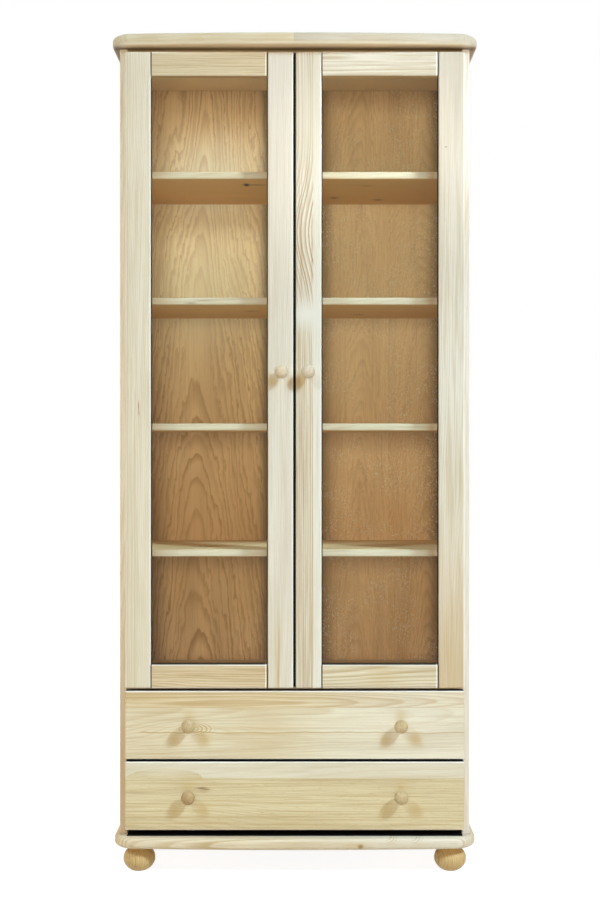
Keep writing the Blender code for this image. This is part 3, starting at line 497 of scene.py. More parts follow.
def wood_material(name, node, strips, edges=(), marks=(), lines=(), whorls=(), swells=(), tints=(),
                  along=None, across=None, dash=0.3, fleck=0.0, rim=(0.2, 0.75), lip=0.0,
                  shoulders=None, painted_shade_under=None, over=None):
    """Raw wood for one board, made of one or more strips that are glued side by side.

    Places are given along and across the board, and through it where a third number stands.
    strips: what differs from STRIP. Pith is the trunk's middle, from the board's own middle.
    edges: (axis, place[, middle, width, height of a bulge]) where the next strip starts.
    marks: (centre, half sizes, share, colour) of soft ovals on the finished wood; among them
    are painted highlights and painted shade.
    lines: (across, sway, half width, share[, start, end]). SPAN is past the end of any board.
    whorls: (centre, inner, outer, stretch, pitch, side, share), as in whorl().
    swells: (centre, half sizes, height) where the growth rings bend aside.
    tints: as marks, for the pale wood below the grain; among them are painted shadows, painted
    light and painted shade.
    along, across: the names of the board's axes, where its sizes don't tell them.
    dash, fleck: shares of the short dark pores and of the pale specks.
    rim: how pale the two long edges are, partly wear and partly painted highlight.
    lip: width of the painted shade on the arris at the high side.
    shoulders: the two places along the board where it runs into its neighbours.
    under, over: (share, colour) of the painted shade on the lowest face and of the painted light
    on the highest face.
    """
    order, low, high = board_axes(node, along, across)
    middle = (low + high) / 2
    material, g = new_material(name)
    parts = g.split(g.place())
    place = [parts[axis] for axis in order]
    length, width, _ = place
    board = g.join(*place)

    # Each strip's own values
    masks = strip_masks(g, place, edges)
    full = [{**STRIP, **strip} for strip in strips]
    pick = {key: stepped(g, masks, [strip[key] for strip in full])
            for key in ("seed", "pitch", "taper", "wander", "ripple", "contrast", "streaks")}
    light, dark = (stepped(g, masks, [srgb(*strip[key]) for strip in full])
                   for key in ("light", "dark"))
    pith = g.join(0.0, *[stepped(g, masks, [middle[order[side + 1]] + strip["pith"][side]
                                            for strip in full]) for side in (0, 1)])

    # The pale wood and the dark wood, with tints, painted shade below and painted light above
    for *spot, tone in tints:
        shown = blot(g, place, *spot)
        light = g.mix(shown, light, srgb(*tone))
        dark = g.mix(g.math("MULTIPLY", shown, 0.45), dark, srgb(*tone))
    near, far = FACE_EDGES
    # Painted shade on the lowest face
    if painted_shade_under:
        face = g.ramp(parts[2], low[2] + near, low[2] + far, painted_shade_under[0], 0.0)
        light = g.mix(face, light, srgb(*painted_shade_under[1]))
        dark = g.mix(g.math("MULTIPLY", face, 0.6), dark, srgb(*painted_shade_under[1]))
    # Painted light on the highest face
    if over:
        face = g.ramp(parts[2], high[2] - far, high[2] - near, 0.0, over[0])
        light = g.mix(face, light, srgb(*over[1]))

    # The grain, from the rings down to the pores
    lift = 0.0
    for centre, sizes, height in swells:
        lift = g.math("MULTIPLY_ADD", oval(g, place, centre, sizes), height, lift)
    values = {"Vector": board, "Pith": pith, "Lift": lift}
    for key in ("seed", "pitch", "taper", "wander", "ripple"):
        values[key.title()] = pick[key]
    rings = g.node("ShaderNodeGroup", values, node_tree=GRAIN)
    late = g.math("MULTIPLY", rings.outputs["Late"], pick["contrast"], clamp=True)
    fibres = g.noise(g.vector("MULTIPLY", board, FIBRE_WAVES), 1.0, 2.0, 0.6)
    moved = g.vector("ADD", board, g.join(pick["seed"], 0, 0))
    broad = g.noise(g.vector("MULTIPLY", moved, BROAD_WAVES), 1.0, 2.0, 0.5)
    streak = g.noise(g.vector("MULTIPLY", moved, STREAK_WAVES), 1.0, 2.0, 0.6)
    pores = g.noise(g.vector("MULTIPLY", moved, PORE_WAVES), 1.0, 1.0, 0.5)
    colour = g.mix(late, light, dark)
    tint = g.math("MULTIPLY_ADD", g.ramp(streak, 0.42, 0.7), pick["streaks"],
                  g.ramp(broad, 0.4, 0.7, 0.0, 0.2))
    colour = g.mix(tint, colour, dark)
    colour = g.mix(g.ramp(pores, 0.64, 0.76, 0.0, dash), colour, dark)

    # What stands out on the board, with painted highlights and painted shade among it
    for at, sway, half, share, *ends in lines:
        seed = strips[0]["seed"] + 7.3 * at
        drawn = drawn_line(g, length, width, at, sway, half, ends or (-SPAN, SPAN), seed)
        colour = g.mix(g.math("MULTIPLY", drawn, share), colour, dark)
    for *spot, share in whorls:
        ring = whorl(g, length, width, *spot)
        colour = g.mix(g.math("MULTIPLY", ring, share), colour, dark)
    shade = g.math("MULTIPLY", g.ramp(fibres, 0.25, 0.75, 0.955, 1.02),
                   g.ramp(broad, 0.3, 0.7, 1.02, 0.975))
    values = {0: colour, "Scale": shade}
    colour = g.node("ShaderNodeVectorMath", values, operation="SCALE").outputs[0]
    for *spot, tone in marks:
        colour = g.mix(blot(g, place, *spot), colour, srgb(*tone))
    if fleck:
        colour = speckled(g, colour, board, width, fleck)
    # Pale edges, partly wear and partly painted highlight, and painted shade on an arris
    if rim:
        ends = (low[order[1]], high[order[1]])
        colour = worn_and_highlit_edges(g, colour, width, *ends, streak, rim, lip)
    # Dark joints, partly painted shade, and a painted highlight beside one of them
    if shoulders:
        colour = shouldered(g, colour, length, shoulders)

    height = g.math("ADD", fibres, g.math("MULTIPLY", late, -0.6))
    rough = g.ramp(fibres, 0.2, 0.8, ROUGHNESS - 0.05, ROUGHNESS + 0.07)
    rough = g.math("MULTIPLY_ADD", late, -0.1, rough)
    g.principled(colour, rough, height, RELIEF, "Specular IOR Level", SPECULAR)
    return material


def dress(node, material):
    """Give a CAD solid its material."""
    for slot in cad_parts[node].material_slots:
        slot.material = material


# The boards
LEFT_SHOULDERS = (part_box("door_left_hinge_stile")[1][0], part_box("door_left_lock_stile")[0][0])
RIGHT_SHOULDERS = (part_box("door_right_lock_stile")[1][0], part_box("door_right_hinge_stile")[0][0])

# For each board: its strips, then whatever else shows on it. rim makes edges pale, partly by
# wear and partly as painted highlight, and lip gives painted shade on an arris.
BOARDS = {
    "door_left_hinge_stile": dict(
        strips=[dict(light=(233, 223, 202), dark=(203, 182, 138), pith=(0.09, 0.1),
                     pitch=0.0026)],
        marks=[((0.55, -0.365), (0.45, 0.5), 0.08, TAN),
               ((1.086, -0.3633), (0.01, 0.0008), 1.2, BROWN),
               ((1.07, -0.3625), (0.006, 0.0012), 0.7, BROWN)],
        lines=[(-0.3885, 0.002, 0.0009, 0.7), (-0.38, 0.003, 0.0008, 0.55, -1.0, 1.2),
               (-0.372, 0.003, 0.0014, 0.6, -1.0, 1.12), (-0.366, 0.003, 0.0007, 0.4, 0.4, 1.2)]),
    "door_left_lock_stile": dict(
        strips=[dict(light=(230, 222, 206), dark=(206, 188, 154), pith=(0.12, 0.14),
                     pitch=0.0024)],
        marks=[((0.45, -0.03), (0.4, 0.5), 0.1, TAN),
               ((0.53, -0.0365), (0.055, 0.0022), 0.75, TAN),
               ((0.46, -0.0385), (0.045, 0.0022), 0.85, TAN),
               ((0.5, -0.0445), (0.11, 0.0028), 0.25, TAN)],
        # Painted shade, greyer towards the top, and painted shade on the meeting arris
        tints=[((1.85, -0.03), (0.22, 0.5), 0.7, (220, 212, 200))], lip=0.0013),
    "door_left_top_rail": dict(
        strips=[dict(light=(221, 204, 169), dark=(168, 139, 90), pith=(0.08, 0.04), pitch=0.003,
                     contrast=0.55, wander=0.03, ripple=0.1, streaks=0.4)],
        # Painted light along the top, where the top board shades it
        marks=[((-0.2, 1.91), (SPAN, 0.004), 0.8, (252, 242, 216))],
        shoulders=LEFT_SHOULDERS),
    "door_left_bottom_rail": dict(
        strips=[dict(light=(221, 200, 162), dark=(168, 130, 77), pith=(-0.05, 0.04), pitch=0.003,
                     contrast=0.75, wander=0.035, ripple=0.1, streaks=0.45)],
        shoulders=LEFT_SHOULDERS, lip=0.0013, rim=(0.7, 0.75)),
    "door_right_lock_stile": dict(
        strips=[dict(light=(230, 224, 205), dark=(176, 134, 66), pith=(-0.1, 0.01), pitch=0.0042,
                     contrast=0.75, taper=0.006, wander=0.01, ripple=0.2, streaks=0.4),
                dict(light=(232, 226, 206), dark=(164, 114, 40), pith=(-0.06, 0.015),
                     pitch=0.006, contrast=0.95, taper=0.01, wander=0.012, ripple=0.16),
                dict(light=(234, 229, 214), dark=(210, 196, 162), pith=(-0.05, 0.03), pitch=0.003,
                     contrast=0.3)],
        edges=[(0, 1.3), (1, 0.043)], swells=[((1.49, 0.005), (0.12, 0.07), 0.03)],
        marks=[((0.6, 0.03), (0.35, 0.5), 0.1, TAN),
               ((1.3, 0.03), (0.04, 0.05), 1.0, (231, 226, 210)),
               ((1.75, 0.03), (0.16, 0.05), 0.45, (218, 210, 190))],
        # Painted shade, greyer towards the top
        tints=[((1.82, 0.03), (0.16, 0.5), 0.7, (210, 202, 184))]),
    "door_right_hinge_stile": dict(
        strips=[dict(light=(236, 228, 212), dark=(198, 179, 136), pith=(0.05, 0.07), pitch=0.0027,
                     contrast=0.4, streaks=0.5)],
        marks=[((0.43, 0.365), (0.34, 0.5), 0.6, TAN),
               ((1.689, 0.352), (0.0018, 0.0016), 1.6, GREY),
               ((1.78, 0.376), (0.06, 0.006), 0.22, GREY)],
        # Painted shade, greyer towards the top
        tints=[((1.85, 0.365), (0.35, 0.5), 0.8, (202, 194, 180))]),
    "door_right_top_rail": dict(
        strips=[dict(light=(229, 225, 210), dark=(172, 140, 84), pith=(0.012, 0.018), pitch=0.0075,
                     contrast=0.55, wander=0.022)],
        shoulders=RIGHT_SHOULDERS),
    "door_right_bottom_rail": dict(
        strips=[dict(light=(230, 217, 186), dark=(176, 144, 92), pith=(0.03, 0.05), pitch=0.005,
                     contrast=0.7)],
        marks=[((0.2035, 0.457), (0.034, 0.05), 0.45, (206, 180, 132))],
        shoulders=RIGHT_SHOULDERS, lip=0.0018, rim=(0.7, 0.75)),
    "drawer_upper_front": dict(
        strips=[dict(light=(229, 217, 187), dark=(185, 150, 93), pith=(0.03, 0.14), pitch=0.003,
                     contrast=0.3),
                dict(light=(229, 211, 173), dark=(185, 147, 89), pith=(0.05, 0.012), pitch=0.0052,
                     contrast=0.65, wander=0.03)],
        edges=[(1, 0.3843)], swells=[((-0.21, 0.333), (0.1, 0.016), 0.01)],
        marks=[((-0.35, 0.345), (0.1, 0.5), 0.2, TAN),
               ((-0.24, 0.3436), (0.012, 0.01), 0.4, TAN)],
        lines=[(0.3265, 0.009, 0.0015, 0.85, -0.36, SPAN),
               (0.3215, 0.005, 0.0009, 0.45, -0.16, 0.36), (0.338, 0.004, 0.0007, 0.35),
               (0.312, 0.004, 0.0006, 0.3, -0.3, 0.2), (0.386, 0.0025, 0.001, 0.6),
               (0.395, 0.005, 0.0008, 0.4), (0.406, 0.004, 0.0007, 0.3)],
        whorls=[((-0.2472, 0.3352), 0.0085, 0.022, 3.0, 0.0033, 1, 0.8),
                ((-0.2472, 0.3352), 0.008, 0.014, 2.4, 0.004, -1, 0.45)],
        tints=[((0.3, 0.345), (0.22, 0.5), 0.6, (240, 232, 212)),
               ((-0.08, 0.345), (0.1, 0.5), 0.45, (216, 192, 148))],
        lip=0.0014, rim=(0.6, 0.75)),
    "drawer_lower_front": dict(
        strips=[dict(light=(221, 204, 164), dark=(179, 143, 84), pith=(-0.09, 0.1), pitch=0.0027,
                     contrast=0.3, streaks=0.4, wander=0.03),
                dict(light=(225, 213, 188), dark=(204, 184, 144), pith=(0.08, 0.09), pitch=0.004,
                     contrast=0.35)],
        edges=[(1, 0.2204, -0.303, 0.088, 0.023)],
        marks=[((-0.303, 0.236), (0.085, 0.011), 0.5, (232, 224, 200)),
               ((-0.217, 0.1975), (0.011, 0.0016), 1.0, (112, 84, 48)),
               ((-0.205, 0.1945), (0.008, 0.001), 0.9, (104, 78, 44)),
               ((-0.212, 0.193), (0.013, 0.006), 0.35, BROWN),
               ((-0.36, 0.185), (0.06, 0.003), 0.3, BROWN)],
        lines=[(0.193, 0.003, 0.001, 0.35, -SPAN, -0.22),
               (0.188, 0.005, 0.0007, 0.3, -SPAN, -0.2),
               (0.179, 0.004, 0.0008, 0.35, -0.15, SPAN), (0.162, 0.006, 0.0007, 0.3),
               (0.143, 0.004, 0.0007, 0.3), (0.128, 0.004, 0.0006, 0.3)],
        dash=0.6, lip=0.001, rim=(0.6, 0.75)),
    "top_board": dict(
        strips=[dict(light=(229, 216, 184), dark=(203, 179, 131), pith=(0.0, -0.08), pitch=0.006,
                     contrast=0.35),
                dict(light=(215, 206, 187), dark=(189, 167, 127), pith=(0.0, -0.06), contrast=0.4)],
        edges=[(0, -0.002)],
        # Painted highlight along the lower nose, painted shade along the top edge, below the nose by
        # the doors and at both ends
        marks=[((0.0, 1.9254), (SPAN, 0.0032), 0.9, (255, 248, 226)),
               ((0.0, 1.9499), (SPAN, 0.0014), 0.5, (176, 156, 116)),
               ((0.0, 1.923, -0.149), (SPAN, 0.004, 0.012), 0.85, (50, 36, 18)),
               ((-0.43, 1.936), (0.014, 0.05), 0.5, (214, 184, 130)),
               ((-0.425, 1.9215), (0.022, 0.007), 0.85, (104, 82, 50)),
               ((0.425, 1.9215), (0.02, 0.007), 0.75, (132, 98, 56))],
        # Painted shade on the lower face
        painted_shade_under=(0.9, (236, 180, 106)), along="X", across="Z", rim=()),
    "base_board": dict(
        strips=[dict(light=(224, 206, 174), dark=(182, 150, 98), pith=(0.0, -0.03), pitch=0.005,
                     contrast=0.7)],
        tints=[((0.28, 0.08), (0.22, 0.5), 0.8, (234, 225, 206))],
        marks=[((0.152, 0.0686), (0.006, 0.0045), 1.2, (132, 106, 56)),
               ((0.14, 0.07), (0.03, 0.008), 0.4, TAN),
               # Painted shade at both ends
               ((-0.428, 0.08), (0.016, 0.05), 0.8, END_SHADE_TONE),
               ((0.428, 0.08), (0.012, 0.05), 0.6, END_SHADE_TONE)],
        whorls=[((0.205, 0.095), 0.014, 0.03, 1.5, 0.0045, 1, 0.95),
                ((0.265, 0.095), 0.012, 0.03, 1.4, 0.0048, 1, 0.85)],
        # Painted shade on the lower face
        painted_shade_under=(0.6, (200, 160, 104)), along="X", across="Z", rim=()),
    "side_panel_left": dict(
        strips=[dict(light=(238, 226, 198), dark=(206, 178, 126), pith=(0.05, 0.06))],
        # Painted shade along the front edge, low down
        marks=[((0.2, -0.15), (0.34, 0.02), 0.85, (190, 148, 88))]),
    "side_panel_right": dict(
        strips=[dict(light=(235, 227, 214), dark=(201, 176, 130), pith=(-0.05, 0.06),
                     contrast=0.4)]),
    "drawer_deck": dict(strips=[dict(light=(222, 204, 166))]),
}

# The shelves, whose marks are given along X and Y, and on the front edge also along Z
SHELF_FRONT = -0.1215
# Painted shadows of the door stiles on the ends of the shelf fronts
SHELF_END_SHADOW_TONE = (190, 148, 92)
SHELF_END_SHADOWS = ((-0.335, 0.026, 0.6), (-0.0625, 0.024, 0.6), (0.326, 0.013, 1.0))
SHELF_STRIP = dict(light=(231, 217, 188), dark=(198, 166, 112), contrast=0.38)
SHELF_MARKS = {
    "shelf_4": [((-0.117, -0.053), (0.006, 0.013), 1.6, SPOT),
                ((-0.092, -0.053), (0.024, 0.005), 0.8, SPOT),
                ((0.099, 0.104), (0.01, 0.01), 0.8, DARK_KNOT),
                ((0.212, 0.13), (0.012, 0.01), 0.7, DARK_KNOT),
                ((0.173, -0.041), (0.012, 0.008), 0.4, LIGHT_KNOT)],
    "shelf_3": [((-0.32, SHELF_FRONT, 1.336), (0.018, 0.003, 0.004), 0.7, TAN),
                ((-0.245, SHELF_FRONT, 1.3315), (0.012, 0.003, 0.0022), 0.8, BROWN),
                ((-0.215, SHELF_FRONT, 1.3375), (0.022, 0.003, 0.0018), 0.7, BROWN),
                ((-0.15, SHELF_FRONT, 1.3415), (0.05, 0.003, 0.0012), 0.6, BROWN),
                ((0.32, SHELF_FRONT, 1.3375), (0.016, 0.003, 0.003), 0.7, BROWN),
                ((0.16, 0.1), (0.013, 0.01), 0.7, DARK_KNOT),
                ((-0.11, 0.02), (0.016, 0.01), 0.6, LIGHT_KNOT)],
    "shelf_2": [((0.3, -0.02), (0.012, 0.012), 0.5, LIGHT_KNOT),
                ((-0.12, 0.02), (0.014, 0.01), 0.5, LIGHT_KNOT)],
}


def shelf_settings(node):
    """A shelf with painted shadows at the ends of its front edge, painted golden shade on its lower
    face, painted light on its upper face, and its knots.
    """
    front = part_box(node)[0][1]
    marks = [((at, front), (wide, 0.004), share, SHELF_END_SHADOW_TONE) for at, wide, share in SHELF_END_SHADOWS]
    marks.append(((-0.2, front), (0.14, 0.004), 0.22, (206, 176, 122)))
    # Painted golden shade below and painted light above
    return dict(painted_shade_under=(0.9, (222, 168, 96)), over=(0.9, (255, 226, 168)),
                marks=marks + SHELF_MARKS.get(node, []))


# The veneered back and the drawer bottoms
BACK_FACE = 0.19
BACK_SKIN = 0.003
# Painted shade in upright bands at the edges of the bays, as (height, reach, x, share)
BAY_EDGE_SHADE_TONE = (98, 70, 34)
BAY_EDGE_SHADES = ((0.55, 0.6, -0.376, 0.45), (1.1, 3.0, -0.07, 0.8), (1.1, 3.0, 0.07, 0.55),
           (1.1, 3.0, 0.372, 0.6))
VENEER = dict(light=(255, 217, 166), dark=(186, 138, 80), pitch=0.0105, taper=0.11, wander=0.06,
              ripple=0.55, contrast=0.9, streaks=0.2)


def back_settings(seed):
    """The back, whose three leaves of veneer stand upright, with painted light and painted shade.
    Places are along Z, X and Y.
    """
    leaves = [dict(VENEER, seed=seed, pith=(-0.25, 0.035)),
              dict(VENEER, seed=seed + 4.4, pith=(0.16, 0.03), light=(247, 207, 156), pitch=0.006,
                   contrast=0.36, ripple=0.6),
              dict(VENEER, seed=seed + 7.7, pith=(0.34, 0.05), light=(243, 200, 146), pitch=0.005,
                   contrast=0.4)]
    return dict(
        strips=leaves, edges=[(1, -0.02), (1, 0.243)], along="Z", across="X", dash=0.2, fleck=0.8,
        rim=(),
        swells=[((1.82, -0.29), (0.22, 0.04), 0.03), ((1.74, -0.13), (0.2, 0.05), 0.032),
                ((1.5, -0.17), (0.18, 0.05), 0.022), ((1.14, -0.24), (0.2, 0.05), 0.02),
                ((0.9, -0.14), (0.16, 0.05), 0.018), ((1.72, 0.26), (0.12, 0.05), 0.02),
                ((1.45, 0.13), (0.18, 0.05), 0.022), ((0.6, -0.24), (0.16, 0.05), 0.018)],
        # Painted light, paler higher up and in soft patches in the upper left bays, and painted shade
        # low on the left
        tints=[((1.48, 0.0), (0.5, SPAN), 0.65, (255, 240, 198)),
               ((1.68, -0.22, BACK_FACE), (0.12, 0.13, BACK_SKIN), 1.2, (255, 248, 226)),
               ((1.4, -0.24, BACK_FACE), (0.13, 0.15, BACK_SKIN), 1.2, (255, 246, 214)),
               ((0.76, -0.2, BACK_FACE), (0.3, 0.25, BACK_SKIN), 0.45, (200, 154, 92))],
        # Painted shade in dark upright bands at the edges of the bays
        marks=[((height, at, BACK_FACE), (reach, 0.02, BACK_SKIN), share, BAY_EDGE_SHADE_TONE)
               for height, reach, at, share in BAY_EDGE_SHADES])


# Knobs and feet
FOOT_STRIP = dict(light=(220, 188, 130), dark=(150, 110, 60), pith=(0.08, 0.01), pitch=0.0045)
KNOB_STRIP = dict(light=(236, 220, 190), dark=(186, 150, 98), pith=(0.04, 0.0), pitch=0.0022,
                  contrast=0.7)
DRAWER_KNOB_TONES = dict(light=(212, 190, 146), dark=(160, 124, 76))
KNOB_TONES = {
    "door_right_knob": dict(light=(244, 232, 210)),
    "door_left_knob": {},
    "drawer_lower_knob_left": dict(light=(196, 166, 118), dark=(140, 102, 58)),
}

# Golden painted shadows beside a knob, as ((x, z), half size, share) from its middle
DRAWER_KNOB_SHADOWS = (((-0.034, -0.036), 0.015, 0.85), ((0.034, -0.034), 0.016, 0.85),
                     ((0, 0.022), 0.013, 0.5))
DOOR_KNOB_SHADOWS = (((-0.023, -0.021), 0.015, 0.9), ((-0.036, -0.024), 0.009, 0.85))


def painted_knob_shadows(node):
    """Soft golden painted shadows beside the knobs of a drawer front or a lock stile, none elsewhere.
    """
    drawer = node.endswith("_front")
    tints = []
    if not drawer and not node.endswith("_lock_stile"):
        return tints
    for side in SIDES:
        low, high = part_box(node.replace("front", "knob_" + side) if drawer else f"door_{side}_knob")
        for (x, z), size, share in DRAWER_KNOB_SHADOWS if drawer else DOOR_KNOB_SHADOWS:
            centre = ((low[0] + high[0]) / 2 + x, (low[2] + high[2]) / 2 + z)
            tints.append((centre if drawer else centre[::-1], (size, size), share, KNOB_SHADOW_TONE))
    return tints


# Each node and each strip has a seed of its own
FIRST_SEED = 1.7
NODE_SEED_STEP = 2.31
STRIP_SEED_STEP = 3.1


def wood_settings(node, seed):
    """What wood_material needs to know of a node."""
    if node == "back_panel":
        return back_settings(seed)
    if node.startswith("drawer_") and node.endswith("_bottom"):
        return dict(strips=[dict(VENEER, seed=seed, pith=(0.1, 0.03), contrast=0.5)], along="X",
                    across="Y", dash=0.2, rim=())
    if "foot" in node:
        return dict(strips=[dict(FOOT_STRIP, seed=seed)], along="Z", across="X", rim=())
    if "knob" in node:
        strip = {**KNOB_STRIP, **KNOB_TONES.get(node, DRAWER_KNOB_TONES), "seed": seed}
        return dict(strips=[strip], along="Y", across="X", rim=())
    if node.startswith("shelf_"):
        return dict(shelf_settings(node), strips=[dict(SHELF_STRIP, seed=seed)])
    settings = dict(BOARDS.get(node, {}))
    settings["strips"] = [dict(strip, seed=seed + STRIP_SEED_STEP * place)
                          for place, strip in enumerate(settings.get("strips", [{}]))]
    settings["tints"] = list(settings.get("tints", [])) + painted_knob_shadows(node)
    return settings


for number, node in enumerate(sorted(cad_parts)):
    if not node.endswith("_glass") and not node.startswith("hinge_"):
        settings = wood_settings(node, FIRST_SEED + NODE_SEED_STEP * number)
        dress(node, wood_material("wood_" + node, node, **settings))


# Glass, metal and smooth turned shapes
GLASS_TINT = (0.97, 0.985, 0.975)
GLASS_IOR = 1.45
GLASS_SHINE = 0.3
STEEL_TONES = ((0.6, 0.6, 0.61), (0.72, 0.71, 0.7))
STEEL_WAVES = (90, 90, 700)
STEEL_RELIEF = 0.00003
SHARP_ANGLE = 34
WELD_DISTANCE = 0.00002


def glass_material():
    """Clear float glass that lets the lamps through to what it shuts in."""
    material, g = new_material("float_glass")
    rays = g.node("ShaderNodeLightPath").outputs
    clear = g.node("ShaderNodeBsdfTransparent", {"Color": GLASS_TINT})
    shine = g.node("ShaderNodeBsdfGlossy", {"Color": WHITE, "Roughness": 0.0})
    facing = g.node("ShaderNodeFresnel", {"IOR": GLASS_IOR}).outputs[0]
    glass = g.either(g.math("MULTIPLY", facing, GLASS_SHINE), clear, shine)
    passing = g.math("MAXIMUM", rays["Is Shadow Ray"], rays["Is Diffuse Ray"])
    g.surface(g.either(passing, glass, clear))
    return material


def steel_material():
    """Nickel-plated pressed steel."""
    material, g = new_material("nickel_steel")
    smear = g.noise(g.vector("MULTIPLY", g.place(), STEEL_WAVES), 1.0, 2.0, 0.6)
    colour = g.mix(smear, *STEEL_TONES)
    rough = g.ramp(smear, 0.3, 0.7, 0.22, 0.36)
    g.principled(colour, rough, smear, STEEL_RELIEF, "Metallic", 1.0)
    return material


def smoothing_group():
    """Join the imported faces, and shade all but the sharp edges smoothly."""
    tree, g, given, finish = new_group("smooth_by_angle", {"Geometry": "G"}, {"Geometry": "G"})
    joined = g.node("GeometryNodeMergeByDistance", {"Geometry": given["Geometry"],
                                                    "Distance": WELD_DISTANCE})
    faces = g.node("GeometryNodeSetShadeSmooth", {"Geometry": joined.outputs[0],
                                                  "Shade Smooth": True})
    angle = g.node("GeometryNodeInputMeshEdgeAngle").outputs[0]
    sharp = g.math("GREATER_THAN", angle, math.radians(SHARP_ANGLE))
    edges = g.node("GeometryNodeSetShadeSmooth", {"Geometry": faces.outputs[0], "Selection": sharp,
                                                  "Shade Smooth": False}, domain="EDGE")
    finish(Geometry=edges.outputs[0])
    return tree


SMOOTH = smoothing_group()
GLASS = glass_material()
STEEL = steel_material()
for node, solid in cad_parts.items():
    if "knob" in node or "foot" in node or node.endswith("_cup"):
        modifier = solid.modifiers.new("smooth_by_angle", "NODES")
        modifier.node_group = SMOOTH
    if node.endswith("_glass"):
        dress(node, GLASS)
    if node.startswith("hinge_"):
        dress(node, STEEL)


# Sealant, whose dark tone is partly painted shade, and dark felt that stands in for the shade
# in the gaps
CLEARANCE = 0.0001
SEALANT_LEG = 0.0023
SEALANT_SHADE_TONE = (44, 32, 18)
SEALANT_HIGH_TONE = (150, 116, 68)
SEALANT_HIGH = 1.849
SEALANT_HIGH_BLUR = 0.004
# Tone and steps of the dark felt that stands in for the shade in the gaps
FELT_TONE = (10, 8, 6)
FELT_STEP = 0.02
MEETING_THICKNESS = 0.00236
MEETING_DEPTHS = (0.0017, 0.0115)
MEETING_INSET = 0.0035
TAPE_INSET = 0.004
TAPE_DEPTHS = (0.0016, 0.0075)
TAPE_TOP = 0.002
BASE_FELT_FRONT = 0.002
BASE_FELT_BEHIND = 0.02
BASE_FELT_TOP = 0.0012


def plain_material(name, colour, roughness, grain, relief, above=None):
    """A dull dark stuff with a fine unevenness, such as the felt in the gaps and the sealant round
    the panes, whose dark tones stand in for shade.

    above: (height, colour) where it is of a lighter tone.
    """
    material, g = new_material(name)
    place = g.place()
    spots = g.noise(place, grain, 3.0, 0.6)
    low, high = [tuple(part * share for part in srgb(*colour)) for share in (0.75, 1.3)]
    tone = g.mix(spots, low, high)
    if above:
        share = g.ramp(g.split(place)[2], above[0], above[0] + SEALANT_HIGH_BLUR)
        tone = g.mix(share, tone, srgb(*above[1]))
    rough = g.ramp(spots, 0.3, 0.7, roughness - 0.05, roughness + 0.05)
    g.principled(tone, rough, spots, relief, "Specular IOR Level", 0.12)
    return material


# Dark felt that stands in for the shade in the gaps between the doors, on the drawer fronts and below
# the lower drawer
SHADE_FELT = plain_material("dark_felt", FELT_TONE, 0.9, 2200.0, 0.0002)
# Sealant round the panes, whose dark tone is partly painted shade along the edges of the openings,
# lighter along the top
SEALANT = plain_material("glazing_sealant_and_shade", SEALANT_SHADE_TONE, 0.7, 500.0, 0.00005,
                         (SEALANT_HIGH, SEALANT_HIGH_TONE))


def piece(name, shape, material, body):
    """A finished shape as a named piece that moves with a body."""
    mesh = bpy.data.meshes.new(name)
    shape.to_mesh(mesh)
    shape.free()
    mesh.materials.append(material)
    made = bpy.data.objects.new(name, mesh)
    SCENE.collection.objects.link(made)
    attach(made, body)


def sealant_shape(low, high, front):
    """A frame of sealant in the corner between a pane's front and the frame round it, whose dark
    tone is partly painted shade along the opening's edges.
    """
    shape = bmesh.new()
    leg = SEALANT_LEG
    loops = []
    for inset, y in ((0, front), (0, front - leg), (leg * 0.45, front - leg * 0.55), (leg, front)):
        corners = ((low[0] + inset, low[1] + inset), (high[0] - inset, low[1] + inset),
                   (high[0] - inset, high[1] - inset), (low[0] + inset, high[1] - inset))
        loops.append([shape.verts.new((x, y, z)) for x, z in corners])
    for loop, after in zip(loops, loops[1:] + loops[:1]):
        for corner in range(4):
            beyond = (corner + 1) % 4
            shape.faces.new((loop[corner], loop[beyond], after[beyond], after[corner]))
    bmesh.ops.recalc_face_normals(shape, faces=shape.faces)
    return shape


def add_gap_shade(name, low, high, along, body):
    """A strip of dark felt that stands in for shade, between two corners, cut across in short
    steps along its length.
    """
    axis = AXES[along]
    shape = bmesh.new()
    bmesh.ops.create_cube(shape, size=1)
    for vert in shape.verts:
        vert.co = [low[i] + (vert.co[i] + 0.5) * (high[i] - low[i]) for i in range(3)]
    length = high[axis] - low[axis]
    long = [edge for edge in shape.edges
            if abs(edge.verts[0].co[axis] - edge.verts[1].co[axis]) > length / 2]
    bmesh.ops.subdivide_edges(shape, edges=long, cuts=max(2, int(length / FELT_STEP)))
    piece(name, shape, SHADE_FELT, body)


def add_sealant(side):
    """The sealant round a door's pane, whose dark tone is partly painted shade."""
    name = f"door_{side}"
    stile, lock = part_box(f"{name}_hinge_stile"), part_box(f"{name}_lock_stile")
    left, right = (stile, lock) if side == "left" else (lock, stile)
    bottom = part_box(f"{name}_bottom_rail")[1][2]
    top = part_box(f"{name}_top_rail")[0][2]
    shape = sealant_shape((left[1][0] + CLEARANCE, bottom + CLEARANCE),
                          (right[0][0] - CLEARANCE, top - CLEARANCE),
                          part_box(f"{name}_glass")[0][1] - CLEARANCE)
    piece(f"sealant_{side}", shape, SEALANT, name)


def add_meeting_felt(side, outward):
    """The dark felt on the edge of a door where it meets the other one, standing in for the
    shade in the gap.
    """
    low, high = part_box(f"door_{side}_lock_stile")
    meeting = high[0] if outward > 0 else low[0]
    faces = sorted(meeting + outward * rise
                   for rise in (CLEARANCE, CLEARANCE + MEETING_THICKNESS))
    front, behind = (low[1] + depth for depth in MEETING_DEPTHS)
    add_gap_shade(f"meeting_gap_shade_{side}", (faces[0], front, low[2] + MEETING_INSET),
             (faces[1], behind, high[2] - MEETING_INSET), "Z", f"door_{side}")


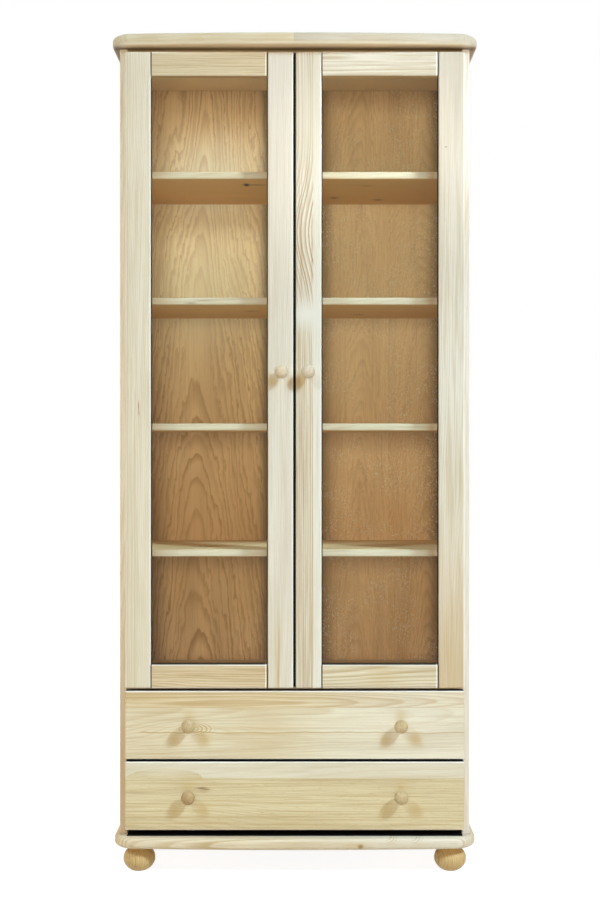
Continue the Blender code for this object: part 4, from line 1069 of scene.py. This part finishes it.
def add_felt_tape(level):
    """The dark felt on the upper edge of a drawer front, standing in for the shade in the gap."""
    low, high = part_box(f"drawer_{level}_front")
    front, behind = (low[1] + depth for depth in TAPE_DEPTHS)
    add_gap_shade(f"tape_gap_shade_{level}", (low[0] + TAPE_INSET, front, high[2] + CLEARANCE),
             (high[0] - TAPE_INSET, behind, high[2] + TAPE_TOP), "X", f"drawer_{level}")


def add_drawer_felt():
    """The dark felt on the base board below the lower drawer front, standing in for the shade
    in the gap.
    """
    low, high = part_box("drawer_lower_front")
    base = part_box("base_board")[1][2]
    add_gap_shade("drawer_felt", (low[0] + TAPE_INSET, low[1] + BASE_FELT_FRONT, base + CLEARANCE),
             (high[0] - TAPE_INSET, high[1] + BASE_FELT_BEHIND, base + BASE_FELT_TOP), "X",
             "cabinet")


for side, outward in (("left", 1), ("right", -1)):
    add_sealant(side)
    add_meeting_felt(side, outward)
for level in LEVELS:
    add_felt_tape(level)
add_drawer_felt()


# Screw and pin heads, as (radius, height)
CUP_SCREW = (0.0033, 0.0012)
PLATE_SCREW = (0.0032, 0.0014)
KNOB_SCREW = (0.0045, 0.002)
BACK_PIN = (0.0028, 0.0007)
CUP_SCREW_INSET = 0.0045
PLATE_SCREW_INSET = 0.006
PLATE_SCREW_SETBACK = 0.0145
PLATE_RISE = 0.0033
BACK_PIN_PITCH = 0.155

# The form of a head, as shares of its radius and height
HEAD_SIDES = 16
HEAD_RINGS = ((1.0, 0.0), (0.97, 0.4), (0.78, 0.85), (0.52, 1.0))
SLOT_ARM = (0.48, 0.45)
SLOT_CORNER = (0.13, 0.9)
SLOT_DEPTH = 0.4


def add_head(shape, centre, turn, radius, height):
    """A screw or pin head with a crossed slot, added to a shape."""
    rings = [[ring] * HEAD_SIDES for ring in HEAD_RINGS]
    rings.append([SLOT_CORNER if step % 4 else SLOT_ARM for step in range(HEAD_SIDES)])
    verts = []
    for ring in rings:
        loop = []
        for step, (share, rise) in enumerate(ring):
            angle = 2 * math.pi * step / HEAD_SIDES
            far = share * radius
            point = Vector((far * math.cos(angle), far * math.sin(angle), rise * height))
            loop.append(shape.verts.new(centre + turn @ point))
        verts.append(loop)
    top = shape.verts.new(centre + turn @ Vector((0, 0, SLOT_DEPTH * height)))
    foot = shape.verts.new(centre)
    for step in range(HEAD_SIDES):
        after = (step + 1) % HEAD_SIDES
        for ring, over in zip(verts, verts[1:]):
            shape.faces.new((ring[step], ring[after], over[after], over[step]))
        shape.faces.new((verts[-1][step], verts[-1][after], top))
        shape.faces.new((foot, verts[0][after], verts[0][step]))


def add_heads(name, groups, body):
    """One piece made of rows of heads: (centres, axis that they rise along, sizes) each."""
    shape = bmesh.new()
    for centres, axis, sizes in groups:
        turn = Vector((0, 0, 1)).rotation_difference(Vector(axis)).to_matrix()
        for centre in centres:
            add_head(shape, Vector(centre), turn, *sizes)
    piece(name, shape, STEEL, body)


def knob_screw(knob, back):
    """Where the screw of a knob ends, on the back of the board that the knob sits on."""
    low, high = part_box(knob)
    return (low[0] + high[0]) / 2, back, (low[2] + high[2]) / 2


def hinge_screws(side, inward):
    """The screws of a door's three hinges: the places in the door, and the rows on the side."""
    cup_screws = []
    plate_rows = []
    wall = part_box(f"side_panel_{side}")[1 if inward > 0 else 0][0] + inward * PLATE_RISE
    for number in (1, 2, 3):
        low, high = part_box(f"hinge_{side}_{number}_cup")
        middle = (low[0] + high[0]) / 2
        cup_screws += [(middle, high[1], low[2] + CUP_SCREW_INSET),
                       (middle, high[1], high[2] - CUP_SCREW_INSET)]
        low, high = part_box(f"hinge_{side}_{number}_arm")
        places = [(wall, high[1] - PLATE_SCREW_SETBACK, z)
                  for z in (low[2] + PLATE_SCREW_INSET, high[2] - PLATE_SCREW_INSET)]
        plate_rows.append((places, (inward, 0, 0), PLATE_SCREW))
    return cup_screws, plate_rows


BEHIND = (0, 1, 0)
plate_heads = []
for side, inward in (("left", 1), ("right", -1)):
    cup_screws, plate_rows = hinge_screws(side, inward)
    plate_heads += plate_rows
    knob = knob_screw(f"door_{side}_knob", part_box(f"door_{side}_lock_stile")[1][1])
    add_heads(f"door_screws_{side}", [(cup_screws, BEHIND, CUP_SCREW), ([knob], BEHIND, KNOB_SCREW)],
              f"door_{side}")
add_heads("plate_screws", plate_heads, "cabinet")
for level in LEVELS:
    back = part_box(f"drawer_{level}_front")[1][1]
    knobs = [knob_screw(f"drawer_{level}_knob_{side}", back) for side in SIDES]
    add_heads(f"knob_screws_{level}", [(knobs, BEHIND, KNOB_SCREW)], f"drawer_{level}")
panel_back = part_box("back_panel")[1][1]
pins = []
for node in ("drawer_deck", "shelf_1", "shelf_2", "shelf_3", "shelf_4"):
    low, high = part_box(node)
    pins += [(BACK_PIN_PITCH * step, panel_back, (low[2] + high[2]) / 2) for step in range(-2, 3)]
add_heads("back_pins", [(pins, BEHIND, BACK_PIN)], "cabinet")
